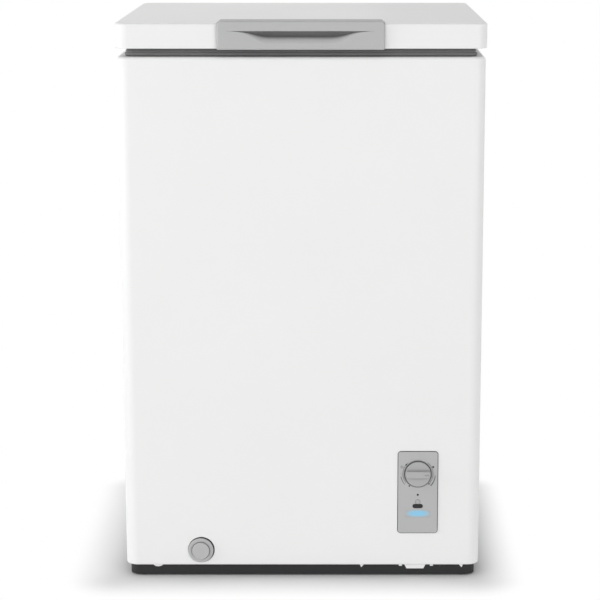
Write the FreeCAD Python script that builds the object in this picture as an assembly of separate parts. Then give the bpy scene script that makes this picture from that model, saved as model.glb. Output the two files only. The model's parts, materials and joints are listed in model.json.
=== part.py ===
import FreeCAD, Part
import math
import os
from collections import namedtuple

from FreeCAD import Vector

# Chest freezer of about 100 litres, free-standing, with one top lid.
# Millimetres. +Z is up, the user stands on the -Y side, +X is to the user's right.
# The origin is on the floor, under the middle of the whole object's bounding box.
# Each function named after a sub-part returns that sub-part's solid or list of solids.

Screw = namedtuple("Screw", "head_radius head_height shank_radius shank_length")

# ================================================================ driving dimensions
# Cabinet shell, of painted steel sheet
CABINET_WIDTH = 545.0
CABINET_DEPTH = 480.0
CABINET_TOP = 801.0            # top face of the steel rim under the gasket
SHELL_BOTTOM = 19.0            # lower edge of the painted shell
SHEET = 0.8
SHELL_FRONT_CORNER = 18.0
SHELL_REAR_CORNER = 4.0
SHELL_TOP_BEND = 5.5
SHELL_BOTTOM_BEND = 2.5
SHELL_FLANGE = 14.0            # width of the bottom and rear return flanges
SHELL_REAR_TOP_FLANGE = 30.0
REAR_SHEET_EDGE = 4.0          # the rear sheets stop this far inside the shell's outline
REAR_SHEET_TOP_EDGE = 7.0

# Tabs lanced down from the shell's bottom flange
TAB_SETBACK = 3.2
TAB_FROM_RIGHT = 98.5
TAB_HALF_WIDTH = 17.0
TAB_FOOT_HALF_WIDTH = 13.0
TAB_LOW = 12.2
PRONGS_FROM_RIGHT = 97.0
PRONG_SPREAD = 24.0
PRONG_HALF_WIDTH = 2.5
PRONG_LOW = 16.4
HOOKS_FROM_RIGHT = (180.5, 27.5)
HOOK_WIDTH = 8.0
HOOK_LEAN = 1.0                # how far the hook's point is moved to one side
HOOK_LOW = 14.0
LOBE_FROM_LEFT = 49.5
LOBE_RADIUS = 10.9
LOBE_CENTRE_UP = 6.6           # from the flange up to the centre of the lobe's arc

# Tank and insulation
WALL_SIDE = 55.0               # foam wall, from the shell's outside to the liner's outside
WALL_FRONT = 52.0
LINER_SHEET = 1.0
LINER_FLOOR = 76.0
LINER_CORNER = 18.0
LINER_FOOT_BEND = 12.0
WELL_WALL = 45.0               # foam between the liner's well and the machine compartment
STEP_FOAM = 48.0               # foam between the machine compartment and the liner's step

# Plastic frame round the mouth
RIM_LAND = 19.0                # from the liner's outside to the steel rim's inner edge
RIM_UNDERLAP = 10.0            # how far the frame reaches out under the steel rim
RIM_OVERLAP = 2.0
LEDGE_DROP = 8.0               # the basket ledge lies this far under the rim
LEDGE_WIDTH = 9.0
FRAME_WALL = 2.0
SKIRT_DEPTH = 21.0             # how far the frame hangs down inside the liner
SKIRT_WALL = 1.5

# Lid
MOUTH_GAP = 12.5               # from the steel rim to the lid's lower edge
LID_THICKNESS = 37.0
LID_SIDE_OVERHANG = 1.5
LID_FRONT_OVERHANG = 2.5
LID_REAR_OVERHANG = 2.0
LID_CORNER = 19.0
LID_TOP_BEND = 3.5
LID_BOTTOM_BEND = 1.5
LID_FLANGE = 9.0
LID_LINER_SHEET = 2.0
LID_LINER_RIM = 30.0
LID_DISH_DROP = 10.0           # how far the lid's inner panel stands down from its rim
LID_DISH_BEND = 3.0
LID_DISH_GAP = 2.0             # between the inner panel and the gasket

# Gasket
GASKET_INSET = 12.0
GASKET_WIDTH = 20.0
GASKET_CORNER = 14.0
GASKET_CLEARANCE = 0.3
GASKET_FOOT = 5.5              # height of the soft foot over the rim
GASKET_HEEL = 3.5              # height of the part held in the lid
GASKET_WAIST_INSET = 4.0
GASKET_HEEL_INSET = 1.0
MAGNET_CHANNEL = (3.0, 12.0)   # from the gasket's outer edge to the channel's two sides
MAGNET_CHANNEL_HEIGHT = (1.2, 4.4)
MAGNET_PLAY = 0.1

# Handle
HANDLE_WIDTH = 246.0
HANDLE_PROUD = 6.0             # in front of the lid's front face
HANDLE_RISE = 3.5              # above the lid's top
HANDLE_WRAP = 34.0             # how far it runs back over the lid's top
HANDLE_UNDER = 1.3             # below the lid's lower edge
HANDLE_LIP_DEPTH = 16.0
HANDLE_TOP_CORNER = 6.0
HANDLE_BOTTOM_CORNER = 2.5
HANDLE_EDGE = 3.0
SCOOP_LEDGE = 11.0             # from the lid's top down to the scoop's ledge
SCOOP_SIDE = 15.0              # from the handle's end to the scoop's end
SCOOP_LIP = (16.0, 70.0, 20.0)     # radius of the scoop's rounded lip, and its slope at both ends
SCOOP_BACK = (9.0, 20.0, 90.0)     # the same for the hollow behind the lip
SCOOP_FADE = ((0.0, 1.0), (0.2, 1.0), (0.4, 1.0), (0.5, 0.92), (0.6, 0.68), (0.7, 0.36), (0.8, 0.15),
              (0.9, 0.06), (1.0, 0.02))    # the scoop's size along its half length
SCOOP_WALL = 3.0
HANDLE_SCREW_FROM_END = 9.0
HANDLE_SCREW_SETBACK = 12.0
HANDLE_SCREW_SINK = 0.5        # how deep the flat heads sit in the handle's lip

# Plinth and feet
BASE_INSET_SIDE = 6.0
BASE_INSET_FRONT = 6.0
BASE_INSET_REAR = 8.0
BASE_BOTTOM = 2.0
BASE_RAIL = 34.0
BASE_CORNER = 16.0
CROSS_RAIL = 24.0
CROSS_RAIL_LEFT = -91.0
FOOT_RADIUS = 18.0
FOOT_INSET = 22.0
FOOT_EDGE = 0.8
FOOT_STEM_RADIUS = 6.0
FOOT_STEM = 9.0

# Machine compartment, at the right-hand end of the cabinet
COMPARTMENT_WIDTH = 180.5
COMPARTMENT_TOP = 232.0
TRAY_SHEET = 1.5
TRAY_SLOT = 8.0
TRAY_SLOT_PITCH = 22.0
TRAY_SLOT_COUNT = 6
TRAY_SLOT_MARGIN = 28.0
TRAY_SLOTS_FROM_FRONT = 60.0
COMPRESSOR_FROM_RIGHT = 90.5
COMPRESSOR_FROM_BACK = 120.0
COMPRESSOR_RADIUS = 68.0
COMPRESSOR_HEIGHT = 140.0
COMPRESSOR_WALL = 3.0
COMPRESSOR_END_SHARE = 0.62    # the can's end rounding as a share of its radius
SEAM_WIDTH = 3.5
SEAM_HEIGHT = 5.0
FOOT_PLATE = 3.0
FOOT_PLATE_HALF_STRIP = 13.0
FOOT_PLATE_HALF_BRIDGE = 26.0
FOOT_PLATE_END = 14.0
BOLT_SPREAD = (52.0, 72.0)
BOLT_RADIUS = 3.0
BOLT_PLAY = 0.3
BOLT_HEAD_RADIUS = 6.0
BOLT_HEAD = 4.5
WASHER_RADIUS = 9.0
WASHER = 1.5
RUBBER_RADIUS = 10.0
RUBBER_HEIGHT = 14.0
RUBBER_GROOVE = (5.0, 4.0)     # height above the tray, and width
RUBBER_GROOVE_DEPTH = 1.8
STATOR_RADII = (52.0, 26.0)
STATOR_HEIGHT = 42.0
STATOR_LEGS = 18.0
LEG_RADIUS = 4.0
LEG_SPREAD = 38.0
ROTOR_GAP = 0.5
ROTOR_SETBACK = 2.0
CRANKCASE_RADIUS = 40.0
CRANKCASE_HEIGHT = 22.0
CRANKCASE_POST = 3.0
MOTOR_SHAFT_RADIUS = 7.0
MOTOR_SHAFT_LENGTH = 96.0
RELAY_HALF_WIDTH = 26.0
RELAY_DEPTH = 24.0
RELAY_BACKSET = 12.0
RELAY_LOW = 42.0
RELAY_HEIGHT = 52.0
RELAY_CORNER = 4.0

# Refrigerant tubes
TUBE_RADIUS = 3.0
DISCHARGE_RADIUS = 2.4
TUBE_BEND = 8.0
NARROW_TUBE_BEND = 6.0
SUCTION_PORT = (10.0, 52.0)    # behind the compressor's axis, and above its foot
SUCTION_STUB = 13.0
SUCTION_END = (10.0, 50.0)     # where it leaves the compartment, from the compressor's axis
DISCHARGE_PORT = (-14.0, 56.0)
DISCHARGE_STUB = 12.0
PROCESS_PORT = (-20.0, 50.0)   # beside the compressor's axis, and above its foot
PROCESS_STUB = 16.0
PROCESS_HEIGHT = 38.0
COPE_DEPTH = 4.0               # how far a tube would run into the can before it is trimmed
BRAZE_GAP = 0.15               # from the can's wall to a trimmed tube
CAPILLARY_RADIUS = 1.2
CAPILLARY_SIZE = (36.0, 40.0, 10.0)  # across, along and down
CAPILLARY_RISER_SETBACK = 4.0
DRIER_RADIUS = 9.0
DRIER_LENGTH = 80.0
DRIER_CONE = 12.0
DRIER_OUTLET_RADIUS = 1.8
DRIER_CLIP_HALF = 5.0
DRIER_DROP = 14.0              # from the compartment's ceiling down to the drier's axis
DRIER_FROM_WALL = 26.0
DRIER_AHEAD = 150.0            # in front of the compressor's axis
CONDENSER_RADIUS = 2.5
CONDENSER_BEND = 20.0
CONDENSER_ROWS = 8
CONDENSER_ENDS = (50.0, 45.0)  # from the cabinet's front and back
CONDENSER_LOW = 300.0
CONDENSER_FROM_TOP = 95.0
EVAPORATOR_RADIUS = 3.0
EVAPORATOR_TURNS = 7
EVAPORATOR_ABOVE_STEP = 50.0
EVAPORATOR_FROM_TOP = 89.0
TOUCH = 0.05                   # between a tube and the sheet that it is taped to

# Side grille and rear cover
GRILLE_FROM_BACK = 36.0
GRILLE_LENGTH = 190.0
GRILLE_BOTTOM = 52.0
GRILLE_HEIGHT = 144.0
GRILLE_FLANGE = 6.0
GRILLE_FLANGE_THICKNESS = 1.4
GRILLE_CORNER = 5.0
GRILLE_DEPTH = 6.0
GRILLE_FRAME = 3.0
BLADE_THICKNESS = 2.4
BLADE_SLOPE = 6.0
BLADE_PITCH = 12.0
BLADE_MARGIN = 10.0
MULLION_WIDTH = 3.0
MULLION_COUNT = 2
COVER_SLOT_HEIGHT = 4.0
COVER_SLOT_HALF_WIDTH = 26.0
COVER_SLOT_CENTRES = (58.0, 120.0)
COVER_SLOT_COUNT = 10
COVER_SLOTS_BELOW_TOP = 28.0

# Inlet of the mains lead
GLAND_FROM_WALL = 30.0
GLAND_HEIGHT = 41.0            # above the shell's lower edge
GLAND_BORE = 4.2
GLAND_BODY = 7.8
GLAND_COLLAR = 10.5
GLAND_COLLAR_THICKNESS = 3.0
GLAND_TAIL = 9.0               # how far the gland reaches in from the cover
GLAND_NOSE = (8.5, 6.5, 9.0)   # radius at its root and at its tip, and length

# Control panel
PANEL_FROM_RIGHT = 95.3
PANEL_WIDTH = 60.2
PANEL_BOTTOM = 71.5
PANEL_HEIGHT = 129.2
PANEL_PROUD = 2.0
PANEL_CORNER = 4.0
PANEL_EDGE = 0.9
PANEL_LIP = 10.0
PANEL_LIP_WALL = 1.5
PANEL_OVERLAP = 1.6
KNOB_BELOW_TOP = 34.7
KNOB_RADIUS = 19.5
KNOB_PROUD = 8.0
KNOB_DISC = 4.0
KNOB_CAP_INSET = 1.2
KNOB_EDGE = 1.4
KNOB_BAR = 9.5
KNOB_DISH = 1.6                # how much the disc is dished beside the bar
KNOB_NOTCH = (6.0, 1.8, 0.8)   # length, width and depth of the pointer mark
KNOB_NOTCH_MARGIN = 3.0
DIAL_GROOVE_GAP = 1.4
DIAL_GROOVE_WIDTH = 0.8
DIAL_GROOVE_DEPTH = 0.6
SHAFT_RADIUS = 3.0
SHAFT_IN_KNOB = 5.5
SHAFT_IN_THERMOSTAT = 20.0
RUNNING_GAP = 0.06             # radial clearance of a turning shaft
LENS_WIDTH = 38.0
LENS_HEIGHT = 11.6
LENS_ABOVE_BOTTOM = 31.1
LENS_SHOULDER = 2.0
LENS_SHOULDER_THICKNESS = 1.5
LENS_RECESS = 0.2
LAMP_RADIUS = 2.5
LAMP_ABOVE_BOTTOM = 49.8
LAMP_DOME = 0.3
BOARD_HALF_WIDTH = 24.0
BOARD_MARGIN = (11.0, 7.0)
BOARD_THICKNESS = 1.6
BOARD_BEHIND_FRONT = 8.0
LAMP_CHIP = (2.0, 1.6, 1.5)    # half width, depth and half height
LAMP_SPREAD = 9.0
BOARD_POST_RADIUS = 2.5
BOARD_POST_INSET = 4.5
CONTROL_BOX_DEPTH = 48.0
CONTROL_BOX_WALL = 1.6
WIRE_HOLE_RADIUS = 4.0
WIRE_HOLE_OFFSET = 18.0
WIRE_HOLE_ABOVE_BOTTOM = 69.0
LOOM_RADIUS = 3.0
LOOM_BEND = 12.0
LOOM_LOW = 60.0
LOOM_FALL = (45.0, 80.0)       # where its fall starts and ends, behind the control box
LOOM_CLIMB = (60.0, 35.0)      # where its climb starts and ends, in front of the relay cover
LOOM_ENTRY = (4.0, 17.5)       # beside the compressor's axis, and above the relay cover's foot
THERMOSTAT_HALF_WIDTH = 21.0
THERMOSTAT_HALF_HEIGHT = 16.0
THERMOSTAT_DEPTH = (6.0, 32.0)
THERMOSTAT_CORNER = 1.5
THERMOSTAT_COLLAR = 5.0
THERMOSTAT_SHOULDER = 8.0
BLADE_TERMINALS = (-13.0, 0.0, 13.0)
BLADE_TERMINAL_HALF = 3.0
BLADE_TERMINAL_LENGTH = 8.0
BLADE_TERMINAL_THICKNESS = 0.8
BLADE_TERMINAL_DROP = 9.0
SENSOR_LINE_RADIUS = 1.2
SENSOR_LINE_BEND = 10.0
SENSOR_LINE_BEHIND = 66.0
SENSOR_LINE_RISE = 8.0
SENSOR_BULB_RADIUS = 4.0
SENSOR_BULB_LENGTH = 70.0
SENSOR_BULB_START = 110.0
SENSOR_CHANNEL_PLAY = 0.4

# Drain
PLUG_FROM_LEFT = 115.9
PLUG_Z = 43.0
PLUG_RADIUS = 19.3
PLUG_SEAT_DEPTH = 3.0          # from the shell's face back to the plug's seat
PLUG_FACE = 2.6                # how far the flange stands out of the shell
PLUG_PROUD = 6.0               # how far the button stands out of the shell
PLUG_BUTTON_RADIUS = 13.3
PLUG_GROOVE = (0.9, 1.2)       # width and depth of the groove round the button
PLUG_EDGE = 1.2
PLUG_SPIGOT = 18.0
PLUG_SPIGOT_EDGE = 2.0
PLUG_PLAY = 0.3
PLUG_HOLE_GAP = 1.2            # the shell's hole is this much larger all round
PLUG_HOLE_SHIFT = 0.75         # and this much up and to the right
DRAIN_BORE = 8.0
DRAIN_WALL = 2.5
DRAIN_SEAT_RIM = 1.7
DRAIN_RUN = 90.0               # from the shell's face back to the upright
STOPPER_RIM = 5.0
STOPPER_THICKNESS = 3.0
STOPPER_EDGE = 1.2
STOPPER_SPIGOT = 12.0
STOPPER_TAB = (7.0, 1.5, 10.0)  # half width, half thickness and height of the pull tab
STOPPER_TAB_EDGE = 1.4

# Hinges
HINGE_FROM_SIDE = 112.5
HINGE_BEHIND = 9.0             # from the cabinet's back to the hinge axis
HINGE_ABOVE_RIM = 5.0
BARREL_RADIUS = 8.0
BARREL_LENGTH = 34.0
BUSH_LENGTH = 3.0
KNUCKLE_LENGTH = 11.0
KNUCKLE_GAP = 0.3
HINGE_SHEET = 2.0
BRACKET_WIDTH = 56.0
BRACKET_HEIGHT = 60.0
BRACKET_BELOW_BARREL = 2.0
BRACKET_CORNER = 5.0
NECK_DEPTH = (12.0, 14.0)      # below the barrel, at the cabinet's back and at the bracket's face
NECK_REACH = (6.0, 4.0)        # behind and below the hinge axis
LEAF_FOOT = 2.5                # from the lid's lower edge up to the leaf plate
LEAF_HEIGHT = 25.5
LEAF_CORNER = 4.0
LEAF_ARM_HEIGHT = 11.2
LEAF_ARM_NOSE = (5.2, 5.6)     # behind and above the hinge axis
LEAF_ARM_HEEL = (4.0, 3.2)     # in front of and above it
PIN_RADIUS = 2.98
PIN_HEAD_RADIUS = 5.0
PIN_HEAD = 1.8
PIN_BORE_IN_LEAF = 3.0
SPRING_WIRE = 0.9
SPRING_BORE = 6.2
SPRING_PITCH = 2.6
SPRING_PLAY = 0.2

# Basket
BASKET_WIDTH = 190.0
BASKET_HEIGHT = 180.0
BASKET_BELOW_LEDGE = 8.0
BASKET_SIDE_GAP = 6.0
BASKET_END_GAP = 16.0
BASKET_WIRE = 1.75             # wire radii
BASKET_RIM_WIRE = 2.5
BASKET_PITCH = 26.0
BASKET_FLOOR_PITCH = 60.0
BASKET_RIM_CORNER = 12.0
BASKET_RIM_OUT = 0.6
BASKET_BANDS = (9.0, 70.0, 125.0)
BASKET_CORNER_INSET = (12.0, 6.0)
BASKET_WELD = 0.5              # how far crossing wires are pressed into each other
HANGER_HALF_WIDTH = 60.0
HANGER_LENGTH = 30.0
HANGER_BEND = 4.5
HANGER_END_GAP = 1.5

# Fasteners
SMALL_SCREW = Screw(head_radius=3.6, head_height=1.8, shank_radius=1.7, shank_length=9.0)
HANDLE_SCREW = Screw(head_radius=3.6, head_height=1.2, shank_radius=1.7, shank_length=9.0)
HINGE_SCREW = Screw(head_radius=4.4, head_height=2.2, shank_radius=2.2, shank_length=14.0)
SCREW_HEAD_ROUNDING = 0.45     # shares of the screw's own head
SCREW_SLOT_LENGTH = 1.1
SCREW_SLOT_WIDTH = 0.28
SCREW_SLOT_DEPTH = 0.5
SCREW_LEAD = 5.0               # how far a screw hole starts in front of the screw's seat
SCREW_FROM_EDGE = 9.5
SCREW_ABOVE_EDGE = 8.0
SIDE_SCREW_PITCH = 230.0
SIDE_SCREWS_ABOVE_STEP = 20.0
SIDE_SCREWS_BELOW_TOP = 60.0
LOW_SIDE_SCREW_RISE = 61.0     # above the shell's lower edge
TOP_SCREW_X = 82.0
TOP_SCREW_DROP = 18.0
LOW_SCREWS_X = (-91.0, 19.5)
COVER_SIDE_SCREW_RISE = 41.0
COVER_SIDE_SCREW_DROP = 27.0
COVER_LOW_SCREWS = (23.0, 143.0)  # from the machine compartment's wall
BRACKET_SCREWS = [(x, z) for x in (-19.0, 19.0) for z in (-20.0, -48.0)]
LEAF_SCREWS_X = (-18.0, 0.0, 18.0)
LEAF_SCREWS_RISE = 30.0

FIT_GAP = 0.2                  # between separate pieces that are assembled with play
OVERCUT = 1.0                  # how far a cutting shape runs past the face that it cuts

# ================================================================ places worked out from them
OVERALL_DEPTH = PANEL_PROUD + KNOB_PROUD + CABINET_DEPTH + HINGE_BEHIND + BARREL_RADIUS
FRONT = -OVERALL_DEPTH / 2 + PANEL_PROUD + KNOB_PROUD
BACK = FRONT + CABINET_DEPTH
SIDE = CABINET_WIDTH / 2
REAR_SHEET_FACE = BACK - SHEET
REAR_SHEET_Y = (REAR_SHEET_FACE, BACK)

LID_BOTTOM = CABINET_TOP + MOUTH_GAP
LID_TOP = LID_BOTTOM + LID_THICKNESS
LID_REAR = BACK + LID_REAR_OVERHANG

COMPARTMENT_LEFT = SIDE - COMPARTMENT_WIDTH
FLOOR_PLATE_LOW = SHELL_BOTTOM + SHEET
TRAY_TOP = FLOOR_PLATE_LOW + TRAY_SHEET
STEP_TOP = COMPARTMENT_TOP + STEP_FOAM
LINER_SIDE = SIDE - WALL_SIDE
WELL_RIGHT = COMPARTMENT_LEFT - WELL_WALL
LEDGE_Z = CABINET_TOP - LEDGE_DROP
LINER_TOP = LEDGE_Z - FRAME_WALL
SKIRT_OUTSIDE = LINER_SHEET + FIT_GAP
SKIRT_INSIDE = SKIRT_OUTSIDE + SKIRT_WALL

COMPRESSOR_X = SIDE - COMPRESSOR_FROM_RIGHT
COMPRESSOR_Y = BACK - COMPRESSOR_FROM_BACK
COMPRESSOR_LOW = TRAY_TOP + RUBBER_HEIGHT + FOOT_PLATE
GRILLE_Y = (BACK - GRILLE_FROM_BACK - GRILLE_LENGTH, BACK - GRILLE_FROM_BACK)
GRILLE_TOP = GRILLE_BOTTOM + GRILLE_HEIGHT
GLAND = (COMPARTMENT_LEFT + GLAND_FROM_WALL, SHELL_BOTTOM + GLAND_HEIGHT)

PANEL_X = SIDE - PANEL_FROM_RIGHT
PANEL_TOP = PANEL_BOTTOM + PANEL_HEIGHT
PANEL_FACE = FRONT - PANEL_PROUD
KNOB_Z = PANEL_TOP - KNOB_BELOW_TOP
KNOB_BACK = PANEL_FACE - FIT_GAP
KNOB_HEIGHT = KNOB_PROUD - FIT_GAP
LENS_Z = PANEL_BOTTOM + LENS_ABOVE_BOTTOM
LAMP_Z = PANEL_BOTTOM + LAMP_ABOVE_BOTTOM
WIRE_HOLE_Z = PANEL_BOTTOM + WIRE_HOLE_ABOVE_BOTTOM

PLUG_X = -SIDE + PLUG_FROM_LEFT
PLUG_SEAT = FRONT + PLUG_SEAT_DEPTH
DRAIN_Y = FRONT + DRAIN_RUN
DRAIN_OUTSIDE = DRAIN_BORE + DRAIN_WALL
DRAIN_SEAT_RADIUS = PLUG_RADIUS + PLUG_HOLE_GAP + DRAIN_SEAT_RIM

HANDLE_HALF = HANDLE_WIDTH / 2
HANDLE_TOP = LID_TOP + HANDLE_RISE
HANDLE_BOTTOM = LID_BOTTOM - HANDLE_UNDER
HANDLE_FRONT = FRONT - LID_FRONT_OVERHANG - HANDLE_PROUD
HANDLE_REAR = FRONT + HANDLE_WRAP
SCOOP_HALF = HANDLE_HALF - SCOOP_SIDE
SCOOP_CEILING = LID_TOP - SCOOP_LEDGE


def arc_step(radius, start, end):
    """How far inwards and upwards an arc of that radius runs between two slopes."""
    a, b = math.radians(start), math.radians(end)
    turn = 1 if b > a else -1
    return turn * radius * (math.sin(b) - math.sin(a)), turn * radius * (math.cos(a) - math.cos(b))


SCOOP_DEPTH = arc_step(*SCOOP_LIP)[0] + arc_step(*SCOOP_BACK)[0]
SCOOP_HEIGHT = arc_step(*SCOOP_LIP)[1] + arc_step(*SCOOP_BACK)[1]

HINGE_X = SIDE - HINGE_FROM_SIDE
HINGE_Y = BACK + HINGE_BEHIND
HINGE_Z = CABINET_TOP + HINGE_ABOVE_RIM
BARREL_FOOT = HINGE_Z - BARREL_RADIUS
BARREL_HALF = BARREL_LENGTH / 2
LEAF_HALF = BARREL_HALF + KNUCKLE_GAP + KNUCKLE_LENGTH

BASKET_RIGHT = LINER_SIDE - SKIRT_INSIDE - BASKET_SIDE_GAP
BASKET_X = (BASKET_RIGHT - BASKET_WIDTH, BASKET_RIGHT)
BASKET_Y = (FRONT + WALL_FRONT + BASKET_END_GAP, BACK - WALL_FRONT - BASKET_END_GAP)
BASKET_Z = (LEDGE_Z - BASKET_BELOW_LEDGE - BASKET_HEIGHT, LEDGE_Z - BASKET_BELOW_LEDGE)
WIRE_STEP = 2 * BASKET_WIRE - BASKET_WELD

SENSOR_ROUTE = [
    (PANEL_X, FRONT + THERMOSTAT_DEPTH[1], KNOB_Z + SENSOR_LINE_RISE),
    (PANEL_X, FRONT + SENSOR_LINE_BEHIND, KNOB_Z + SENSOR_LINE_RISE),
    (PANEL_X, FRONT + SENSOR_LINE_BEHIND, STEP_TOP - SENSOR_BULB_RADIUS - FIT_GAP),
    (PANEL_X, FRONT + SENSOR_BULB_START, STEP_TOP - SENSOR_BULB_RADIUS - FIT_GAP),
]

X_AXIS = Vector(1, 0, 0)
Y_AXIS = Vector(0, 1, 0)
Z_AXIS = Vector(0, 0, 1)
SIGNS = (-1, 1)
SIZE_TOLERANCE = 1e-4


# ================================================================ plain shapes
def around(centre, half):
    """The (low, high) pair that lies half to each side of centre."""
    return (centre - half, centre + half)


def block(x, y, z):
    """A box from three (low, high) pairs."""
    return Part.makeBox(x[1] - x[0], y[1] - y[0], z[1] - z[0], Vector(x[0], y[0], z[0]))


def rod(start, direction, radius, length):
    return Part.makeCylinder(radius, length, Vector(*start), direction)


def pipe(start, direction, outer, inner, length):
    return rod(start, direction, outer, length).cut(rod(start, direction, inner, length))


def union(shapes):
    first, *others = shapes
    return first.multiFuse(others).removeSplitter() if others else first


def limits(shape, axis):
    box = shape.BoundBox
    return ((box.XMin, box.XMax), (box.YMin, box.YMax), (box.ZMin, box.ZMax))[axis]


def edges_at(shape, axis, value):
    """The edges that lie wholly in the plane where that axis has that value."""
    return [e for e in shape.Edges if all(abs(end - value) < SIZE_TOLERANCE for end in limits(e, axis))]


def edges_along(shape, axis):
    """The edges that run straight along one axis."""
    across = [n for n in range(3) if n != axis]
    spans = [(e, [high - low for low, high in (limits(e, n) for n in across)]) for e in shape.Edges]
    return [e for e, widths in spans if max(widths) < SIZE_TOLERANCE]


def extruded(points, axis, start, end):
    """A prism of the polygon through (u, v) points, across axis 0 (X), 1 (Y) or 2 (Z)."""
    place = (
        lambda u, v: Vector(start, u, v),
        lambda u, v: Vector(u, start, v),
        lambda u, v: Vector(u, v, start),
    )[axis]
    corners = [place(u, v) for u, v in points]
    face = Part.Face(Part.makePolygon(corners + corners[:1]))
    return face.extrude((X_AXIS, Y_AXIS, Z_AXIS)[axis] * (end - start))


class Plan:
    """A rectangle seen from above, with one radius for its front corners and one for its rear."""

    def __init__(self, x, y, front_radius, rear_radius=None):
        self.x = x
        self.y = y
        self.front_radius = front_radius
        self.rear_radius = front_radius if rear_radius is None else rear_radius

    def grown(self, by):
        smallest = 0.5
        return Plan(
            (self.x[0] - by, self.x[1] + by),
            (self.y[0] - by, self.y[1] + by),
            max(self.front_radius + by, smallest),
            max(self.rear_radius + by, smallest),
        )

    def slab(self, low, high):
        shape = block(self.x, self.y, (low, high))
        for radius, y in ((self.front_radius, self.y[0]), (self.rear_radius, self.y[1])):
            corners = [e for e in edges_along(shape, 2) if abs(limits(e, 1)[0] - y) < SIZE_TOLERANCE]
            shape = shape.makeFillet(radius, corners)
        return shape

    def ring(self, outer, inner, low, high):
        """Between two offsets of the plan, positive outwards."""
        return self.grown(outer).slab(low, high).cut(self.grown(inner).slab(low - OVERCUT, high + OVERCUT))

    def tub(self, low, high, foot_radius):
        """A slab whose lower edge is rounded."""
        shape = self.slab(low, high)
        return shape.makeFillet(foot_radius, edges_at(shape, 2, low))


def tube(points, radius, bend):
    """A round bar along straight runs joined by tangent arcs of one radius."""
    points = [Vector(*p) for p in points]
    edges = []
    at = points[0]
    for before, corner, after in zip(points, points[1:], points[2:]):
        arrive = (corner - before).normalize()
        leave = (after - corner).normalize()
        half_turn = arrive.getAngle(leave) / 2
        reach = bend * math.tan(half_turn)
        start = corner - arrive * reach
        end = corner + leave * reach
        middle = corner + (leave - arrive).normalize() * (bend / math.cos(half_turn) - bend)
        edges.append(Part.LineSegment(at, start).toShape())
        edges.append(Part.Arc(start, middle, end).toShape())
        at = end
    edges.append(Part.LineSegment(at, points[-1]).toShape())
    section = Part.Wire([Part.makeCircle(radius, points[0], points[1] - points[0])])
    return Part.Wire(edges).makePipeShell([section], True, False)


def screw(at, direction, size):
    """A cross-headed screw: its head rests on the given point, its shank goes along direction."""
    at = Vector(*at)
    crown = at - direction * size.head_height
    head = Part.makeCylinder(size.head_radius, size.head_height, crown, direction)
    circles = [e for e in head.Edges if isinstance(e.Curve, Part.Circle)]
    rim = [e for e in circles if e.Curve.Center.distanceToPoint(crown) < SIZE_TOLERANCE]
    head = head.makeFillet(size.head_height * SCREW_HEAD_ROUNDING, rim)
    shank = Part.makeCylinder(size.shank_radius, size.shank_length, at, direction)
    solid = head.fuse(shank)
    sideways = Vector(direction.y, direction.z, direction.x)
    length = size.head_radius * SCREW_SLOT_LENGTH
    width = size.head_height * SCREW_SLOT_WIDTH
    depth = size.head_height * SCREW_SLOT_DEPTH
    for way in (sideways, direction.cross(sideways)):
        slot = Part.makeBox(length, width, depth, Vector(-length / 2, -width / 2, 0))
        turn = FreeCAD.Rotation(way, direction.cross(way), direction)
        slot.Placement = FreeCAD.Placement(crown, turn)
        solid = solid.cut(slot)
    return solid.removeSplitter()


def screw_holes(points, direction, size):
    """Clearance holes for such screws. Each starts in front of the screw's seat."""
    length = SCREW_LEAD + size.shank_length + OVERCUT
    starts = [Vector(*p) - direction * SCREW_LEAD for p in points]
    return [Part.makeCylinder(size.shank_radius + FIT_GAP, length, start, direction) for start in starts]


def spread(low, high, pitch):
    """Evenly spaced places from low to high, no further apart than pitch."""
    count = max(1, math.ceil((high - low) / pitch))
    return [low + (high - low) * n / count for n in range(count + 1)]


# ================================================================ plans that several pieces share
SHELL_PLAN = Plan((-SIDE, SIDE), (FRONT, REAR_SHEET_FACE), SHELL_FRONT_CORNER, SHELL_REAR_CORNER)
LINER_PLAN = Plan((-LINER_SIDE, LINER_SIDE), (FRONT + WALL_FRONT, BACK - WALL_FRONT), LINER_CORNER)
GASKET_PLAN = Plan(around(0, SIDE - GASKET_INSET), (FRONT + GASKET_INSET, BACK - GASKET_INSET), GASKET_CORNER)
LID_PLAN = Plan(around(0, SIDE + LID_SIDE_OVERHANG), (FRONT - LID_FRONT_OVERHANG, LID_REAR), LID_CORNER)
DISH_PLAN = GASKET_PLAN.grown(-GASKET_WIDTH - LID_DISH_GAP)
BASE_PLAN = Plan(around(0, SIDE - BASE_INSET_SIDE), (FRONT + BASE_INSET_FRONT, BACK - BASE_INSET_REAR),
                 BASE_CORNER)


def rounded_case(plan, low, high, top_bend, bottom_bend):
    """A slab with its own rounding along the top and along the bottom."""
    case = plan.slab(low, high)
    case = case.makeFillet(top_bend, edges_at(case, 2, high))
    return case.makeFillet(bottom_bend, edges_at(case, 2, low))


def shell_case(inset):
    """The shell's outside, or its inner space when inset is the sheet's thickness."""
    return rounded_case(SHELL_PLAN.grown(-inset), SHELL_BOTTOM + inset, CABINET_TOP - inset,
                        SHELL_TOP_BEND - inset, SHELL_BOTTOM_BEND - inset)


def lid_case(inset):
    return rounded_case(LID_PLAN.grown(-inset), LID_BOTTOM + inset, LID_TOP - inset,
                        LID_TOP_BEND - inset, LID_BOTTOM_BEND - inset)


SHELL_SPACE = shell_case(SHEET)
LID_SPACE = lid_case(SHEET)


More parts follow.
